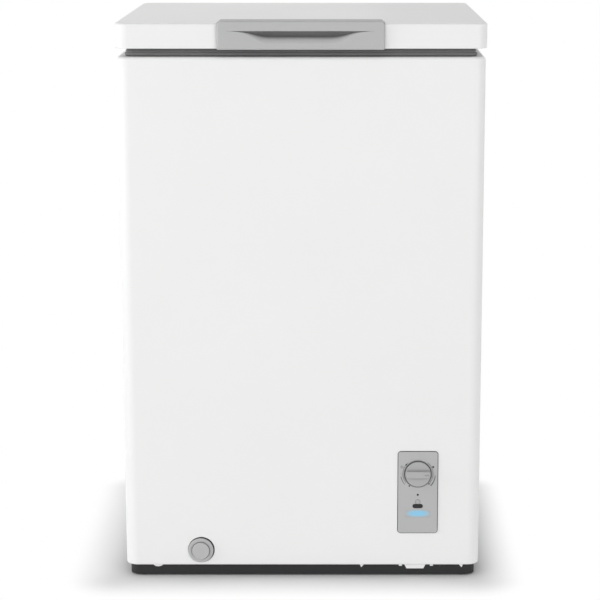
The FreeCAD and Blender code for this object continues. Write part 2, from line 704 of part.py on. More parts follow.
# ================================================================ places of the fasteners
def back_panel_screw_points():
    edge = SIDE - SCREW_FROM_EDGE
    heights = spread(STEP_TOP + SIDE_SCREWS_ABOVE_STEP, CABINET_TOP - SIDE_SCREWS_BELOW_TOP, SIDE_SCREW_PITCH)
    spots = [(side * edge, z) for side in SIGNS for z in heights]
    spots += [(-edge, SHELL_BOTTOM + LOW_SIDE_SCREW_RISE)]
    spots += [(x, SHELL_BOTTOM + SCREW_ABOVE_EDGE) for x in LOW_SCREWS_X]
    spots += [(side * TOP_SCREW_X, CABINET_TOP - TOP_SCREW_DROP) for side in SIGNS]
    return [(x, BACK, z) for x, z in spots]


def rear_cover_screw_points():
    edge = SIDE - SCREW_FROM_EDGE
    low = SHELL_BOTTOM + SCREW_ABOVE_EDGE
    heights = (SHELL_BOTTOM + COVER_SIDE_SCREW_RISE, COMPARTMENT_TOP - COVER_SIDE_SCREW_DROP)
    spots = [(edge, z) for z in heights] + [(COMPARTMENT_LEFT + x, low) for x in COVER_LOW_SCREWS]
    return [(x, BACK, z) for x, z in spots]


def bracket_screw_points(side):
    return [(side * HINGE_X + x, BACK + HINGE_SHEET, BARREL_FOOT + z) for x, z in BRACKET_SCREWS]


def leaf_screw_points(side):
    return [(side * HINGE_X + x, LID_REAR + HINGE_SHEET, HINGE_Z + LEAF_SCREWS_RISE) for x in LEAF_SCREWS_X]


def handle_screw_points():
    x = HANDLE_HALF - HANDLE_SCREW_FROM_END
    return [(side * x, HANDLE_FRONT + HANDLE_SCREW_SETBACK, HANDLE_BOTTOM + HANDLE_SCREW_SINK)
            for side in SIGNS]


def both_sides(points_of):
    return points_of(-1) + points_of(1)


def back_holes():
    """Holes through the cabinet's back for the rear sheets' and the brackets' screws."""
    small = back_panel_screw_points() + rear_cover_screw_points()
    return (screw_holes(small, -Y_AXIS, SMALL_SCREW)
            + screw_holes(both_sides(bracket_screw_points), -Y_AXIS, HINGE_SCREW))


def lid_holes():
    return (screw_holes(both_sides(leaf_screw_points), -Y_AXIS, HINGE_SCREW)
            + screw_holes(handle_screw_points(), Z_AXIS, HANDLE_SCREW))


# ================================================================ cabinet
def shell_tabs():
    """Tabs that reach down over the plinth's front and locate it."""
    y = (FRONT + TAB_SETBACK, FRONT + TAB_SETBACK + SHEET)
    top = FLOOR_PLATE_LOW
    wide = around(SIDE - TAB_FROM_RIGHT, TAB_HALF_WIDTH)
    narrow = around(SIDE - TAB_FROM_RIGHT, TAB_FOOT_HALF_WIDTH)
    tabs = [extruded([(wide[0], top), (wide[1], top), (narrow[1], TAB_LOW), (narrow[0], TAB_LOW)], 1, *y)]
    for x in around(SIDE - PRONGS_FROM_RIGHT, PRONG_SPREAD):
        tabs.append(block(around(x, PRONG_HALF_WIDTH), y, (PRONG_LOW, top)))
    for distance, lean in zip(HOOKS_FROM_RIGHT, SIGNS[::-1]):
        x = SIDE - distance
        left, right = around(x, HOOK_WIDTH / 2)
        tabs.append(extruded([(left, top), (right, top), (x - lean * HOOK_LEAN, HOOK_LOW)], 1, *y))
    lobe_x = -SIDE + LOBE_FROM_LEFT
    lobe = rod((lobe_x, y[0], top + LOBE_CENTRE_UP), Y_AXIS, LOBE_RADIUS, SHEET)
    above = block(around(lobe_x, 2 * LOBE_RADIUS), around(y[0], 2 * SHEET), (top, top + 2 * LOBE_RADIUS))
    return tabs + [lobe.cut(above)]


def front_face_holes():
    """The shell's holes for the control panel and for the drain plug."""
    panel = panel_block(PANEL_OVERLAP, around(FRONT, SHEET + OVERCUT))
    plug = rod((PLUG_X + PLUG_HOLE_SHIFT, FRONT - OVERCUT, PLUG_Z + PLUG_HOLE_SHIFT), Y_AXIS,
               PLUG_RADIUS + PLUG_HOLE_GAP, SHEET + 2 * OVERCUT)
    return [panel, plug]


def outer_shell():
    shell = shell_case(0).cut(SHELL_SPACE)
    mouth = LINER_PLAN.grown(RIM_LAND).slab(CABINET_TOP - SHEET - OVERCUT, CABINET_TOP + OVERCUT)
    floor_window = SHELL_PLAN.grown(-SHELL_FLANGE).slab(SHELL_BOTTOM - OVERCUT, FLOOR_PLATE_LOW + OVERCUT)
    rear_window = block(around(0, SIDE - SHELL_FLANGE), (REAR_SHEET_FACE - SHEET - OVERCUT, BACK),
                        (SHELL_BOTTOM + SHELL_FLANGE, CABINET_TOP - SHELL_REAR_TOP_FLANGE))
    grille_hole = block(around(SIDE, SHEET + OVERCUT), GRILLE_Y, (GRILLE_BOTTOM, GRILLE_TOP))
    shell = shell.cut([mouth, floor_window, rear_window, grille_hole] + front_face_holes() + back_holes())
    return union([shell] + shell_tabs())


def back_panel():
    edge = REAR_SHEET_EDGE
    height = (SHELL_BOTTOM + edge, CABINET_TOP - REAR_SHEET_TOP_EDGE)
    panel = block(around(0, SIDE - edge), REAR_SHEET_Y, height)
    corner = block((COMPARTMENT_LEFT + edge, SIDE), around(BACK, 2 * SHEET), (0, COMPARTMENT_TOP + edge))
    return panel.cut([corner] + back_holes())


def rear_cover():
    """Louvred cover of the machine compartment, with the hole for the cord's gland."""
    edge = REAR_SHEET_EDGE
    x = (COMPARTMENT_LEFT + edge + FIT_GAP, SIDE - edge)
    cover = block(x, REAR_SHEET_Y, (SHELL_BOTTOM + edge, COMPARTMENT_TOP + edge - FIT_GAP))
    slots = []
    for centre in COVER_SLOT_CENTRES:
        for row in range(COVER_SLOT_COUNT):
            z = COMPARTMENT_TOP - COVER_SLOTS_BELOW_TOP - row * BLADE_PITCH
            slots.append(block(around(COMPARTMENT_LEFT + centre, COVER_SLOT_HALF_WIDTH),
                               around(BACK, 2 * SHEET), (z - COVER_SLOT_HEIGHT, z)))
    gland_hole = rod((GLAND[0], REAR_SHEET_FACE - OVERCUT, GLAND[1]), Y_AXIS, GLAND_BODY + FIT_GAP,
                     SHEET + 2 * OVERCUT)
    return cover.cut(slots + [gland_hole] + back_holes())


def cord_gland():
    """Grommet and strain relief that a mains lead passes through."""
    x, z = GLAND
    collar = GLAND_COLLAR_THICKNESS
    root, tip, nose_length = GLAND_NOSE
    inner_end, outer_end = REAR_SHEET_FACE - GLAND_TAIL, BACK + collar + nose_length
    pieces = [
        rod((x, REAR_SHEET_FACE - collar, z), Y_AXIS, GLAND_COLLAR, collar),
        rod((x, inner_end, z), Y_AXIS, GLAND_BODY, BACK - inner_end),
        rod((x, BACK, z), Y_AXIS, GLAND_COLLAR, collar),
        Part.makeCone(root, tip, nose_length, Vector(x, BACK + collar, z), Y_AXIS),
    ]
    bore = rod((x, inner_end - OVERCUT, z), Y_AXIS, GLAND_BORE, outer_end - inner_end + 2 * OVERCUT)
    return union(pieces).cut(bore)


def bottom_plate():
    """Folded steel floor under the foam, with the machine compartment's wall and ceiling."""
    low, inner = FLOOR_PLATE_LOW, COMPARTMENT_LEFT + SHEET
    ceiling = COMPARTMENT_TOP + SHEET
    outline = [(-SIDE, low), (inner, low), (inner, COMPARTMENT_TOP), (SIDE, COMPARTMENT_TOP),
               (SIDE, ceiling), (COMPARTMENT_LEFT, ceiling), (COMPARTMENT_LEFT, low + SHEET),
               (-SIDE, low + SHEET)]
    x, y, _ = SENSOR_ROUTE[2]
    sensor_hole = rod((x, y, COMPARTMENT_TOP - OVERCUT), Z_AXIS, 2 * SENSOR_LINE_RADIUS, SHEET + 2 * OVERCUT)
    return extruded(outline, 1, FRONT, BACK).common(SHELL_SPACE).cut(sensor_hole)


def tank(inset):
    """The liner's outside, or its inside when inset is its sheet: a full tank over a narrower well."""
    plan = LINER_PLAN.grown(-inset)
    bend = LINER_FOOT_BEND - inset
    upper = plan.tub(STEP_TOP + inset, CABINET_TOP, bend)
    well_plan = Plan((plan.x[0], WELL_RIGHT - inset), plan.y, plan.front_radius)
    well = well_plan.tub(LINER_FLOOR + inset, STEP_TOP + 2 * LINER_CORNER, bend)
    return union([upper, well])


TANK_OUTSIDE = tank(0)


def inner_liner():
    """Aluminium tank with the drain hole in its floor."""
    above = block(around(0, SIDE), (FRONT, BACK), (LINER_TOP, CABINET_TOP + OVERCUT))
    hole = rod((PLUG_X, DRAIN_Y, LINER_FLOOR - OVERCUT), Z_AXIS, DRAIN_BORE, LINER_SHEET + 2 * OVERCUT)
    return TANK_OUTSIDE.cut([tank(LINER_SHEET), above, hole])


def mouth_frame():
    """Plastic frame round the mouth. It caps the liner's edge and carries the basket on a ledge."""
    inner, under_rim = -SKIRT_INSIDE, CABINET_TOP - SHEET
    rings = [
        (-SKIRT_OUTSIDE, inner, LEDGE_Z - SKIRT_DEPTH, LEDGE_Z),
        (LEDGE_WIDTH, inner, LINER_TOP, LEDGE_Z),
        (LEDGE_WIDTH, LEDGE_WIDTH - FRAME_WALL, LINER_TOP, CABINET_TOP),
        (RIM_LAND - FIT_GAP, LEDGE_WIDTH - FRAME_WALL, CABINET_TOP - FRAME_WALL, CABINET_TOP),
        (RIM_LAND + RIM_UNDERLAP, RIM_LAND - RIM_OVERLAP, under_rim - FRAME_WALL, under_rim),
    ]
    return union([LINER_PLAN.ring(*ring) for ring in rings])


def evaporator_coil():
    """Tube wound round the tank, each turn climbing along the rear side."""
    plan = LINER_PLAN.grown(EVAPORATOR_RADIUS + TOUCH)
    start = STEP_TOP + EVAPORATOR_ABOVE_STEP
    pitch = (LINER_TOP - EVAPORATOR_FROM_TOP - start) / (EVAPORATOR_TURNS - 1)
    points = []
    for turn in range(EVAPORATOR_TURNS):
        z = start + turn * pitch
        points += [(x, y, z) for x, y in ((plan.x[0], plan.y[1]), (plan.x[0], plan.y[0]),
                                          (plan.x[1], plan.y[0]), (plan.x[1], plan.y[1]))]
    points[0] = (plan.x[0], plan.y[1] - 2 * LINER_CORNER, start)
    return tube(points, EVAPORATOR_RADIUS, LINER_CORNER + EVAPORATOR_RADIUS)


def condenser_coil():
    """Warm tube in two serpentines against the inside of the side walls."""
    ends = (FRONT + CONDENSER_ENDS[0], BACK - CONDENSER_ENDS[1])
    pitch = (CABINET_TOP - CONDENSER_FROM_TOP - CONDENSER_LOW) / (CONDENSER_ROWS - 1)
    serpentines = []
    for side in SIGNS:
        x = side * (SIDE - SHEET - CONDENSER_RADIUS - TOUCH)
        points = []
        for row in range(CONDENSER_ROWS):
            z = CONDENSER_LOW + row * pitch
            points += [(x, y, z) for y in (ends if row % 2 else ends[::-1])]
        serpentines.append(tube(points, CONDENSER_RADIUS, CONDENSER_BEND))
    return serpentines


def drain_tube():
    """Elbow from the tank's floor to the front face, with the seat of the outer plug."""
    seat = (PLUG_X, PLUG_SEAT, PLUG_Z)
    elbow = (PLUG_X, DRAIN_Y, PLUG_Z)
    run = DRAIN_RUN - PLUG_SEAT_DEPTH
    rise = LINER_FLOOR - PLUG_Z
    outside = [rod(seat, Y_AXIS, DRAIN_SEAT_RADIUS, DRAIN_WALL), rod(seat, Y_AXIS, DRAIN_OUTSIDE, run),
               rod(elbow, Z_AXIS, DRAIN_OUTSIDE, rise), Part.makeSphere(DRAIN_OUTSIDE, Vector(*elbow))]
    bores = [rod(seat, Y_AXIS, DRAIN_BORE, run), rod(elbow, Z_AXIS, DRAIN_BORE, rise),
             Part.makeSphere(DRAIN_BORE, Vector(*elbow))]
    return union(outside).cut(union(bores))


def drain_channel():
    """The drain's room in the foam, from the shell's face to the tank's floor."""
    elbow = (PLUG_X, DRAIN_Y, PLUG_Z)
    return [rod((PLUG_X, FRONT, PLUG_Z), Y_AXIS, DRAIN_SEAT_RADIUS, PLUG_SEAT_DEPTH + DRAIN_WALL),
            rod((PLUG_X, FRONT, PLUG_Z), Y_AXIS, DRAIN_OUTSIDE, DRAIN_RUN),
            rod(elbow, Z_AXIS, DRAIN_OUTSIDE, LINER_FLOOR - PLUG_Z + OVERCUT),
            Part.makeSphere(DRAIN_OUTSIDE, Vector(*elbow))]


def sensor_channel():
    x, y, z = SENSOR_ROUTE[3]
    return [tube(SENSOR_ROUTE, SENSOR_LINE_RADIUS + SENSOR_CHANNEL_PLAY, SENSOR_LINE_BEND),
            rod((x, y, z), Y_AXIS, SENSOR_BULB_RADIUS, SENSOR_BULB_LENGTH)]


def foam_body(coils):
    """Rigid foam that fills the space between shell, floor plate and tank."""
    under_rim = CABINET_TOP - SHEET - FRAME_WALL
    width, depth = around(0, SIDE), (FRONT, BACK)
    taken = [
        block((-SIDE, COMPARTMENT_LEFT), depth, (0, FLOOR_PLATE_LOW + SHEET)),
        block((COMPARTMENT_LEFT, SIDE), depth, (0, COMPARTMENT_TOP + SHEET)),
        block(width, REAR_SHEET_Y, (0, CABINET_TOP)),
        LINER_PLAN.grown(RIM_LAND + RIM_UNDERLAP).slab(under_rim, CABINET_TOP),
        LINER_PLAN.grown(LEDGE_WIDTH).slab(LINER_TOP, CABINET_TOP),
        TANK_OUTSIDE,
    ]
    return SHELL_SPACE.cut(taken + drain_channel() + sensor_channel() + back_holes() + coils)


# ================================================================ plinth
def foot_spots():
    plan = BASE_PLAN.grown(-FOOT_INSET)
    return [(x, y) for x in plan.x for y in plan.y]


def plinth():
    """Black frame under the shell, with two cross rails and seats for the feet."""
    frame = BASE_PLAN.ring(0, -BASE_RAIL, BASE_BOTTOM, SHELL_BOTTOM)
    y = (BASE_PLAN.y[0] + BASE_RAIL / 2, BASE_PLAN.y[1] - BASE_RAIL / 2)
    rails = [block(around(x, CROSS_RAIL / 2), y, (BASE_BOTTOM, SHELL_BOTTOM))
             for x in (CROSS_RAIL_LEFT, COMPARTMENT_LEFT)]
    seats = [rod((x, y, BASE_BOTTOM - OVERCUT), Z_AXIS, FOOT_STEM_RADIUS + FIT_GAP / 2,
                 FOOT_STEM + FIT_GAP + OVERCUT) for x, y in foot_spots()]
    return union([frame] + rails).cut(seats)


def feet():
    """Four rubber pads with stems that push up into the plinth."""
    solids = []
    for x, y in foot_spots():
        pad = rod((x, y, 0), Z_AXIS, FOOT_RADIUS, BASE_BOTTOM)
        pad = pad.makeFillet(FOOT_EDGE, edges_at(pad, 2, 0))
        solids.append(union([pad, rod((x, y, BASE_BOTTOM), Z_AXIS, FOOT_STEM_RADIUS, FOOT_STEM)]))
    return solids


# ================================================================ machine compartment
def bolt_spots():
    x, y = around(COMPRESSOR_X, BOLT_SPREAD[0]), around(COMPRESSOR_Y, BOLT_SPREAD[1])
    return [(bolt_x, bolt_y) for bolt_x in x for bolt_y in y]


def bolt_holes(low, high):
    return [rod((x, y, low), Z_AXIS, BOLT_RADIUS + BOLT_PLAY, high - low) for x, y in bolt_spots()]


def compressor_tray():
    """Steel floor of the machine compartment, with air slots."""
    x = (COMPARTMENT_LEFT + SHEET + FIT_GAP, SIDE)
    tray = block(x, (FRONT, BACK), (FLOOR_PLATE_LOW, TRAY_TOP)).common(SHELL_SPACE)
    slot_x = (COMPARTMENT_LEFT + TRAY_SLOT_MARGIN, SIDE - TRAY_SLOT_MARGIN)
    slots = []
    for n in range(TRAY_SLOT_COUNT):
        y = FRONT + TRAY_SLOTS_FROM_FRONT + n * TRAY_SLOT_PITCH
        slots.append(block(slot_x, (y, y + TRAY_SLOT), (SHELL_BOTTOM, TRAY_TOP + OVERCUT)))
    return tray.cut(slots + bolt_holes(SHELL_BOTTOM, TRAY_TOP + OVERCUT))


def compressor_rubbers():
    groove_low, groove_width = RUBBER_GROOVE
    solids = []
    for x, y in bolt_spots():
        body = rod((x, y, TRAY_TOP), Z_AXIS, RUBBER_RADIUS, RUBBER_HEIGHT)
        groove = pipe((x, y, TRAY_TOP + groove_low), Z_AXIS, RUBBER_RADIUS + OVERCUT,
                      RUBBER_RADIUS - RUBBER_GROOVE_DEPTH, groove_width)
        bore = rod((x, y, TRAY_TOP - OVERCUT), Z_AXIS, BOLT_RADIUS + BOLT_PLAY, RUBBER_HEIGHT + 2 * OVERCUT)
        solids.append(body.cut([groove, bore]))
    return solids


def compressor_bolts():
    """Hexagon bolts with washers. They hold the foot plate down through the rubbers."""
    seat = COMPRESSOR_LOW
    low = FLOOR_PLATE_LOW - SHEET / 2
    head_low = seat + WASHER
    solids = []
    for x, y in bolt_spots():
        turns = [math.radians(60 * n) for n in range(6)]
        hexagon = [(x + BOLT_HEAD_RADIUS * math.cos(a), y + BOLT_HEAD_RADIUS * math.sin(a)) for a in turns]
        solids.append(union([rod((x, y, low), Z_AXIS, BOLT_RADIUS, head_low - low),
                             rod((x, y, seat), Z_AXIS, WASHER_RADIUS, WASHER),
                             extruded(hexagon, 2, head_low, head_low + BOLT_HEAD)]))
    return solids


def compressor_foot_plate():
    """Stamped plate that carries the compressor on its four rubbers."""
    z = (COMPRESSOR_LOW - FOOT_PLATE, COMPRESSOR_LOW)
    strip_x = around(COMPRESSOR_X, BOLT_SPREAD[0] + FOOT_PLATE_END)
    strips = [block(strip_x, around(COMPRESSOR_Y + side * BOLT_SPREAD[1], FOOT_PLATE_HALF_STRIP), z)
              for side in SIGNS]
    bridge = block(around(COMPRESSOR_X, FOOT_PLATE_HALF_BRIDGE), around(COMPRESSOR_Y, BOLT_SPREAD[1]), z)
    return union(strips + [bridge]).cut(bolt_holes(z[0] - OVERCUT, z[1] + OVERCUT))


def can(inset):
    """The compressor can's outside, or its inside when inset is its wall."""
    radius = COMPRESSOR_RADIUS - inset
    low, high = COMPRESSOR_LOW + inset, COMPRESSOR_LOW + COMPRESSOR_HEIGHT - inset
    body = rod((COMPRESSOR_X, COMPRESSOR_Y, low), Z_AXIS, radius, high - low)
    return body.makeFillet(radius * COMPRESSOR_END_SHARE, edges_at(body, 2, low) + edges_at(body, 2, high))


def compressor_shell():
    """Sealed steel can with its weld seam."""
    seam = rod((COMPRESSOR_X, COMPRESSOR_Y, COMPRESSOR_LOW + COMPRESSOR_HEIGHT / 2), Z_AXIS,
               COMPRESSOR_RADIUS + SEAM_WIDTH, SEAM_HEIGHT)
    return union([can(0), seam]).cut(can(COMPRESSOR_WALL))


def compressor_motor():
    """Stator on four legs with the crankcase over it, and the rotor with its shaft."""
    low = COMPRESSOR_LOW + COMPRESSOR_WALL
    stator_low = low + STATOR_LEGS
    crank_low = stator_low + STATOR_HEIGHT + CRANKCASE_POST
    outer, inner = STATOR_RADII

    def on_axis(z):
        return (COMPRESSOR_X, COMPRESSOR_Y, z)

    spots = [(COMPRESSOR_X + i * LEG_SPREAD, COMPRESSOR_Y) for i in SIGNS]
    spots += [(COMPRESSOR_X, COMPRESSOR_Y + j * LEG_SPREAD) for j in SIGNS]
    legs = [rod((x, y, low), Z_AXIS, LEG_RADIUS, STATOR_LEGS) for x, y in spots]
    posts = [rod((x, y, crank_low - CRANKCASE_POST), Z_AXIS, LEG_RADIUS, CRANKCASE_POST) for x, y in spots]
    stator = pipe(on_axis(stator_low), Z_AXIS, outer, inner, STATOR_HEIGHT)
    crankcase = pipe(on_axis(crank_low), Z_AXIS, CRANKCASE_RADIUS, MOTOR_SHAFT_RADIUS + RUNNING_GAP,
                     CRANKCASE_HEIGHT)
    rotor = rod(on_axis(stator_low + ROTOR_SETBACK), Z_AXIS, inner - ROTOR_GAP,
                STATOR_HEIGHT - 2 * ROTOR_SETBACK)
    shaft = rod(on_axis(low + STATOR_LEGS / 2), Z_AXIS, MOTOR_SHAFT_RADIUS, MOTOR_SHAFT_LENGTH)
    fixed = union([stator, crankcase] + legs + posts).common(can(COMPRESSOR_WALL + TOUCH))
    return [fixed, union([rotor, shaft])]


def relay_cover():
    """Plastic cap over the start relay on the compressor's front side."""
    face = COMPRESSOR_Y - COMPRESSOR_RADIUS
    z = COMPRESSOR_LOW + RELAY_LOW
    cap = block(around(COMPRESSOR_X, RELAY_HALF_WIDTH), (face - RELAY_DEPTH, face + RELAY_BACKSET),
                (z, z + RELAY_HEIGHT))
    cap = cap.makeFillet(RELAY_CORNER, edges_along(cap, 1))
    room = rod((COMPRESSOR_X, COMPRESSOR_Y, COMPRESSOR_LOW), Z_AXIS, COMPRESSOR_RADIUS + SEAM_WIDTH + FIT_GAP,
               COMPRESSOR_HEIGHT)
    return cap.cut(room)


def coped(pipework):
    """Pipework trimmed to stand just off the compressor's round wall."""
    return pipework.cut(can(-BRAZE_GAP))


def suction_tube():
    """Return tube from the evaporator, round the top of the can and into its left side."""
    start = COMPRESSOR_X - COMPRESSOR_RADIUS + COPE_DEPTH
    out = COMPRESSOR_X - COMPRESSOR_RADIUS - SUCTION_STUB
    y = COMPRESSOR_Y + SUCTION_PORT[0]
    low, high = COMPRESSOR_LOW + SUCTION_PORT[1], COMPARTMENT_TOP - DRIER_DROP
    end_x, end_y = COMPRESSOR_X + SUCTION_END[0], COMPRESSOR_Y + SUCTION_END[1]
    return coped(tube([(start, y, low), (out, y, low), (out, y, high), (end_x, end_y, high),
                       (end_x, end_y, COMPARTMENT_TOP - TOUCH)], TUBE_RADIUS, TUBE_BEND))


def discharge_tube():
    """Thin tube from the can's right side up to the condenser."""
    y, z = COMPRESSOR_Y + DISCHARGE_PORT[0], COMPRESSOR_LOW + DISCHARGE_PORT[1]
    wall = COMPRESSOR_X + math.sqrt(COMPRESSOR_RADIUS ** 2 - DISCHARGE_PORT[0] ** 2)
    start, out = wall - COPE_DEPTH, wall + DISCHARGE_STUB
    return coped(tube([(start, y, z), (out, y, z), (out, y, COMPARTMENT_TOP - TOUCH)], DISCHARGE_RADIUS,
                      NARROW_TUBE_BEND))


def process_tube():
    """Sealed charging stub beside the can."""
    x, z = COMPRESSOR_X + PROCESS_PORT[0], COMPRESSOR_LOW + PROCESS_PORT[1]
    wall = COMPRESSOR_Y + math.sqrt(COMPRESSOR_RADIUS ** 2 - PROCESS_PORT[0] ** 2)
    start, out = wall - COPE_DEPTH, wall + PROCESS_STUB
    return coped(tube([(x, start, z), (x, out, z), (x, out, z + PROCESS_HEIGHT)], TUBE_RADIUS, TUBE_BEND))


DRIER = (COMPARTMENT_LEFT + DRIER_FROM_WALL, COMPRESSOR_Y - DRIER_AHEAD, COMPARTMENT_TOP - DRIER_DROP)


def filter_drier():
    """Copper cartridge that feeds the capillary, clipped under the compartment's ceiling."""
    x, y, z = DRIER
    clip_y = around(y + DRIER_LENGTH / 2, DRIER_CLIP_HALF)
    clip = block(around(x, DRIER_CLIP_HALF), clip_y, (z + DRIER_RADIUS / 2, COMPARTMENT_TOP))
    inlet = Part.makeCone(DRIER_RADIUS, TUBE_RADIUS, DRIER_CONE, Vector(x, y + DRIER_LENGTH, z), Y_AXIS)
    outlet = Part.makeCone(DRIER_RADIUS, DRIER_OUTLET_RADIUS, DRIER_CONE, Vector(x, y, z), -Y_AXIS)
    return union([rod(DRIER, Y_AXIS, DRIER_RADIUS, DRIER_LENGTH), clip, inlet, outlet])


def capillary_tube():
    """Thin tube from the drier's outlet, looped beside it and up into the foam."""
    x, y, z = DRIER[0], DRIER[1] - DRIER_CONE, DRIER[2]
    across, along, down = CAPILLARY_SIZE
    far_x, near_y, far_y = x + across, y - along, y - CAPILLARY_RISER_SETBACK
    return tube([(x, y, z), (x, near_y, z), (far_x, near_y, z - down), (far_x, far_y, z - down),
                 (far_x, far_y, COMPARTMENT_TOP - TOUCH)], CAPILLARY_RADIUS, NARROW_TUBE_BEND)


# ================================================================ control panel
def panel_block(inset, y):
    """An upright rounded plate on the control panel's outline, moved in by inset."""
    shape = block(around(PANEL_X, PANEL_WIDTH / 2 - inset), y, (PANEL_BOTTOM + inset, PANEL_TOP - inset))
    return shape.makeFillet(max(PANEL_CORNER - inset, PANEL_EDGE), edges_along(shape, 1))


def dial_point(y):
    return (PANEL_X, y, KNOB_Z)


LIP_OUTSIDE = PANEL_OVERLAP + FIT_GAP
BOX_OUTSIDE = LIP_OUTSIDE + PANEL_LIP_WALL + FIT_GAP / 2


def control_bezel():
    """Grey plate on the front, with a lip through the shell and windows for the lamps."""
    plate = panel_block(0, (PANEL_FACE, FRONT))
    plate = plate.makeFillet(PANEL_EDGE, edges_at(plate, 1, PANEL_FACE))
    lip = panel_block(LIP_OUTSIDE, (FRONT - OVERCUT / 2, FRONT + PANEL_LIP))
    lip = lip.cut(panel_block(LIP_OUTSIDE + PANEL_LIP_WALL, (FRONT, FRONT + PANEL_LIP + OVERCUT)))
    groove_radius = KNOB_RADIUS + DIAL_GROOVE_GAP
    through = (PANEL_FACE - OVERCUT, FRONT + OVERCUT)
    thickness = through[1] - through[0]
    cuts = [
        pipe(dial_point(through[0]), Y_AXIS, groove_radius + DIAL_GROOVE_WIDTH, groove_radius,
             OVERCUT + DIAL_GROOVE_DEPTH),
        rod(dial_point(through[0]), Y_AXIS, THERMOSTAT_COLLAR + FIT_GAP, thickness),
        block(around(PANEL_X, LENS_WIDTH / 2), through, around(LENS_Z, LENS_HEIGHT / 2)),
        rod((PANEL_X, through[0], LAMP_Z), Y_AXIS, LAMP_RADIUS, thickness),
    ]
    return union([plate, lip]).cut(cuts)


def indicator_lenses():
    """Blue window for the lamp strip and a small round one above it, each on its shoulder."""
    half, tall = LENS_WIDTH / 2 - FIT_GAP / 2, LENS_HEIGHT / 2 - FIT_GAP / 2
    shoulder_y = (FRONT, FRONT + LENS_SHOULDER_THICKNESS)
    strip = union([
        block(around(PANEL_X, half), (PANEL_FACE + LENS_RECESS, FRONT), around(LENS_Z, tall)),
        block(around(PANEL_X, half + LENS_SHOULDER), shoulder_y, around(LENS_Z, tall + LENS_SHOULDER)),
    ])
    face = PANEL_FACE - LAMP_DOME
    lamp = union([
        rod((PANEL_X, face, LAMP_Z), Y_AXIS, LAMP_RADIUS - FIT_GAP / 2, FRONT - face),
        rod((PANEL_X, FRONT, LAMP_Z), Y_AXIS, LAMP_RADIUS + LENS_SHOULDER / 2, LENS_SHOULDER_THICKNESS),
    ])
    return [strip, lamp]


def lamp_board():
    """Circuit board on four posts, with three surface-mounted lamps behind the windows."""
    y = FRONT + BOARD_BEHIND_FRONT
    z = (LENS_Z - BOARD_MARGIN[0], LAMP_Z + BOARD_MARGIN[1])
    board = block(around(PANEL_X, BOARD_HALF_WIDTH), (y, y + BOARD_THICKNESS), z)
    spots = [(PANEL_X - LAMP_SPREAD, LENS_Z), (PANEL_X + LAMP_SPREAD, LENS_Z), (PANEL_X, LAMP_Z)]
    lamps = [block(around(lamp_x, LAMP_CHIP[0]), (y - LAMP_CHIP[1], y), around(lamp_z, LAMP_CHIP[2]))
             for lamp_x, lamp_z in spots]
    reach = CONTROL_BOX_DEPTH - CONTROL_BOX_WALL - BOARD_BEHIND_FRONT - BOARD_THICKNESS
    post_x = around(PANEL_X, BOARD_HALF_WIDTH - BOARD_POST_INSET)
    post_z = (z[0] + BOARD_POST_INSET, z[1] - BOARD_POST_INSET)
    posts = [rod((px, y + BOARD_THICKNESS, pz), Y_AXIS, BOARD_POST_RADIUS, reach)
             for px in post_x for pz in post_z]
    return union([board] + lamps + posts)


def control_box():
    """Plastic housing behind the bezel. It keeps the wiring apart from the compressor."""
    end = FRONT + CONTROL_BOX_DEPTH
    box = panel_block(BOX_OUTSIDE, (FRONT + LENS_SHOULDER_THICKNESS + FIT_GAP, end))
    hollow = panel_block(BOX_OUTSIDE + CONTROL_BOX_WALL, (FRONT, end - CONTROL_BOX_WALL))
    start = end - CONTROL_BOX_WALL - OVERCUT
    length = CONTROL_BOX_WALL + 2 * OVERCUT
    wire_hole = rod((PANEL_X + WIRE_HOLE_OFFSET, start, WIRE_HOLE_Z), Y_AXIS, WIRE_HOLE_RADIUS, length)
    sensor_hole = rod((PANEL_X, start, SENSOR_ROUTE[0][2]), Y_AXIS, 2 * SENSOR_LINE_RADIUS, length)
    return box.cut([hollow, wire_hole, sensor_hole])


def thermostat_body():
    """Thermostat switch with its collar and three spade terminals."""
    near, far = FRONT + THERMOSTAT_DEPTH[0], FRONT + THERMOSTAT_DEPTH[1]
    case = block(around(PANEL_X, THERMOSTAT_HALF_WIDTH), (near, far), around(KNOB_Z, THERMOSTAT_HALF_HEIGHT))
    case = case.makeFillet(THERMOSTAT_CORNER, edges_along(case, 1))
    collar_face = FRONT - PANEL_PROUD / 4
    blade_z = KNOB_Z - BLADE_TERMINAL_DROP
    blades = [block(around(PANEL_X + dx, BLADE_TERMINAL_HALF), (far, far + BLADE_TERMINAL_LENGTH),
                    (blade_z, blade_z + BLADE_TERMINAL_THICKNESS)) for dx in BLADE_TERMINALS]
    bore = rod(dial_point(collar_face - OVERCUT), Y_AXIS, SHAFT_RADIUS + RUNNING_GAP,
               SHAFT_IN_THERMOSTAT + 2 * OVERCUT)
    return union([case, rod(dial_point(collar_face), Y_AXIS, THERMOSTAT_COLLAR, near - collar_face),
                  rod(dial_point(FRONT), Y_AXIS, THERMOSTAT_SHOULDER, near - FRONT)] + blades).cut(bore)


def temperature_sensor():
    """Sensing bulb under the tank's step, on its thin line from the thermostat."""
    x, y, z = SENSOR_ROUTE[3]
    return union([tube(SENSOR_ROUTE, SENSOR_LINE_RADIUS, SENSOR_LINE_BEND),
                  rod((x, y, z), Y_AXIS, SENSOR_BULB_RADIUS, SENSOR_BULB_LENGTH)])


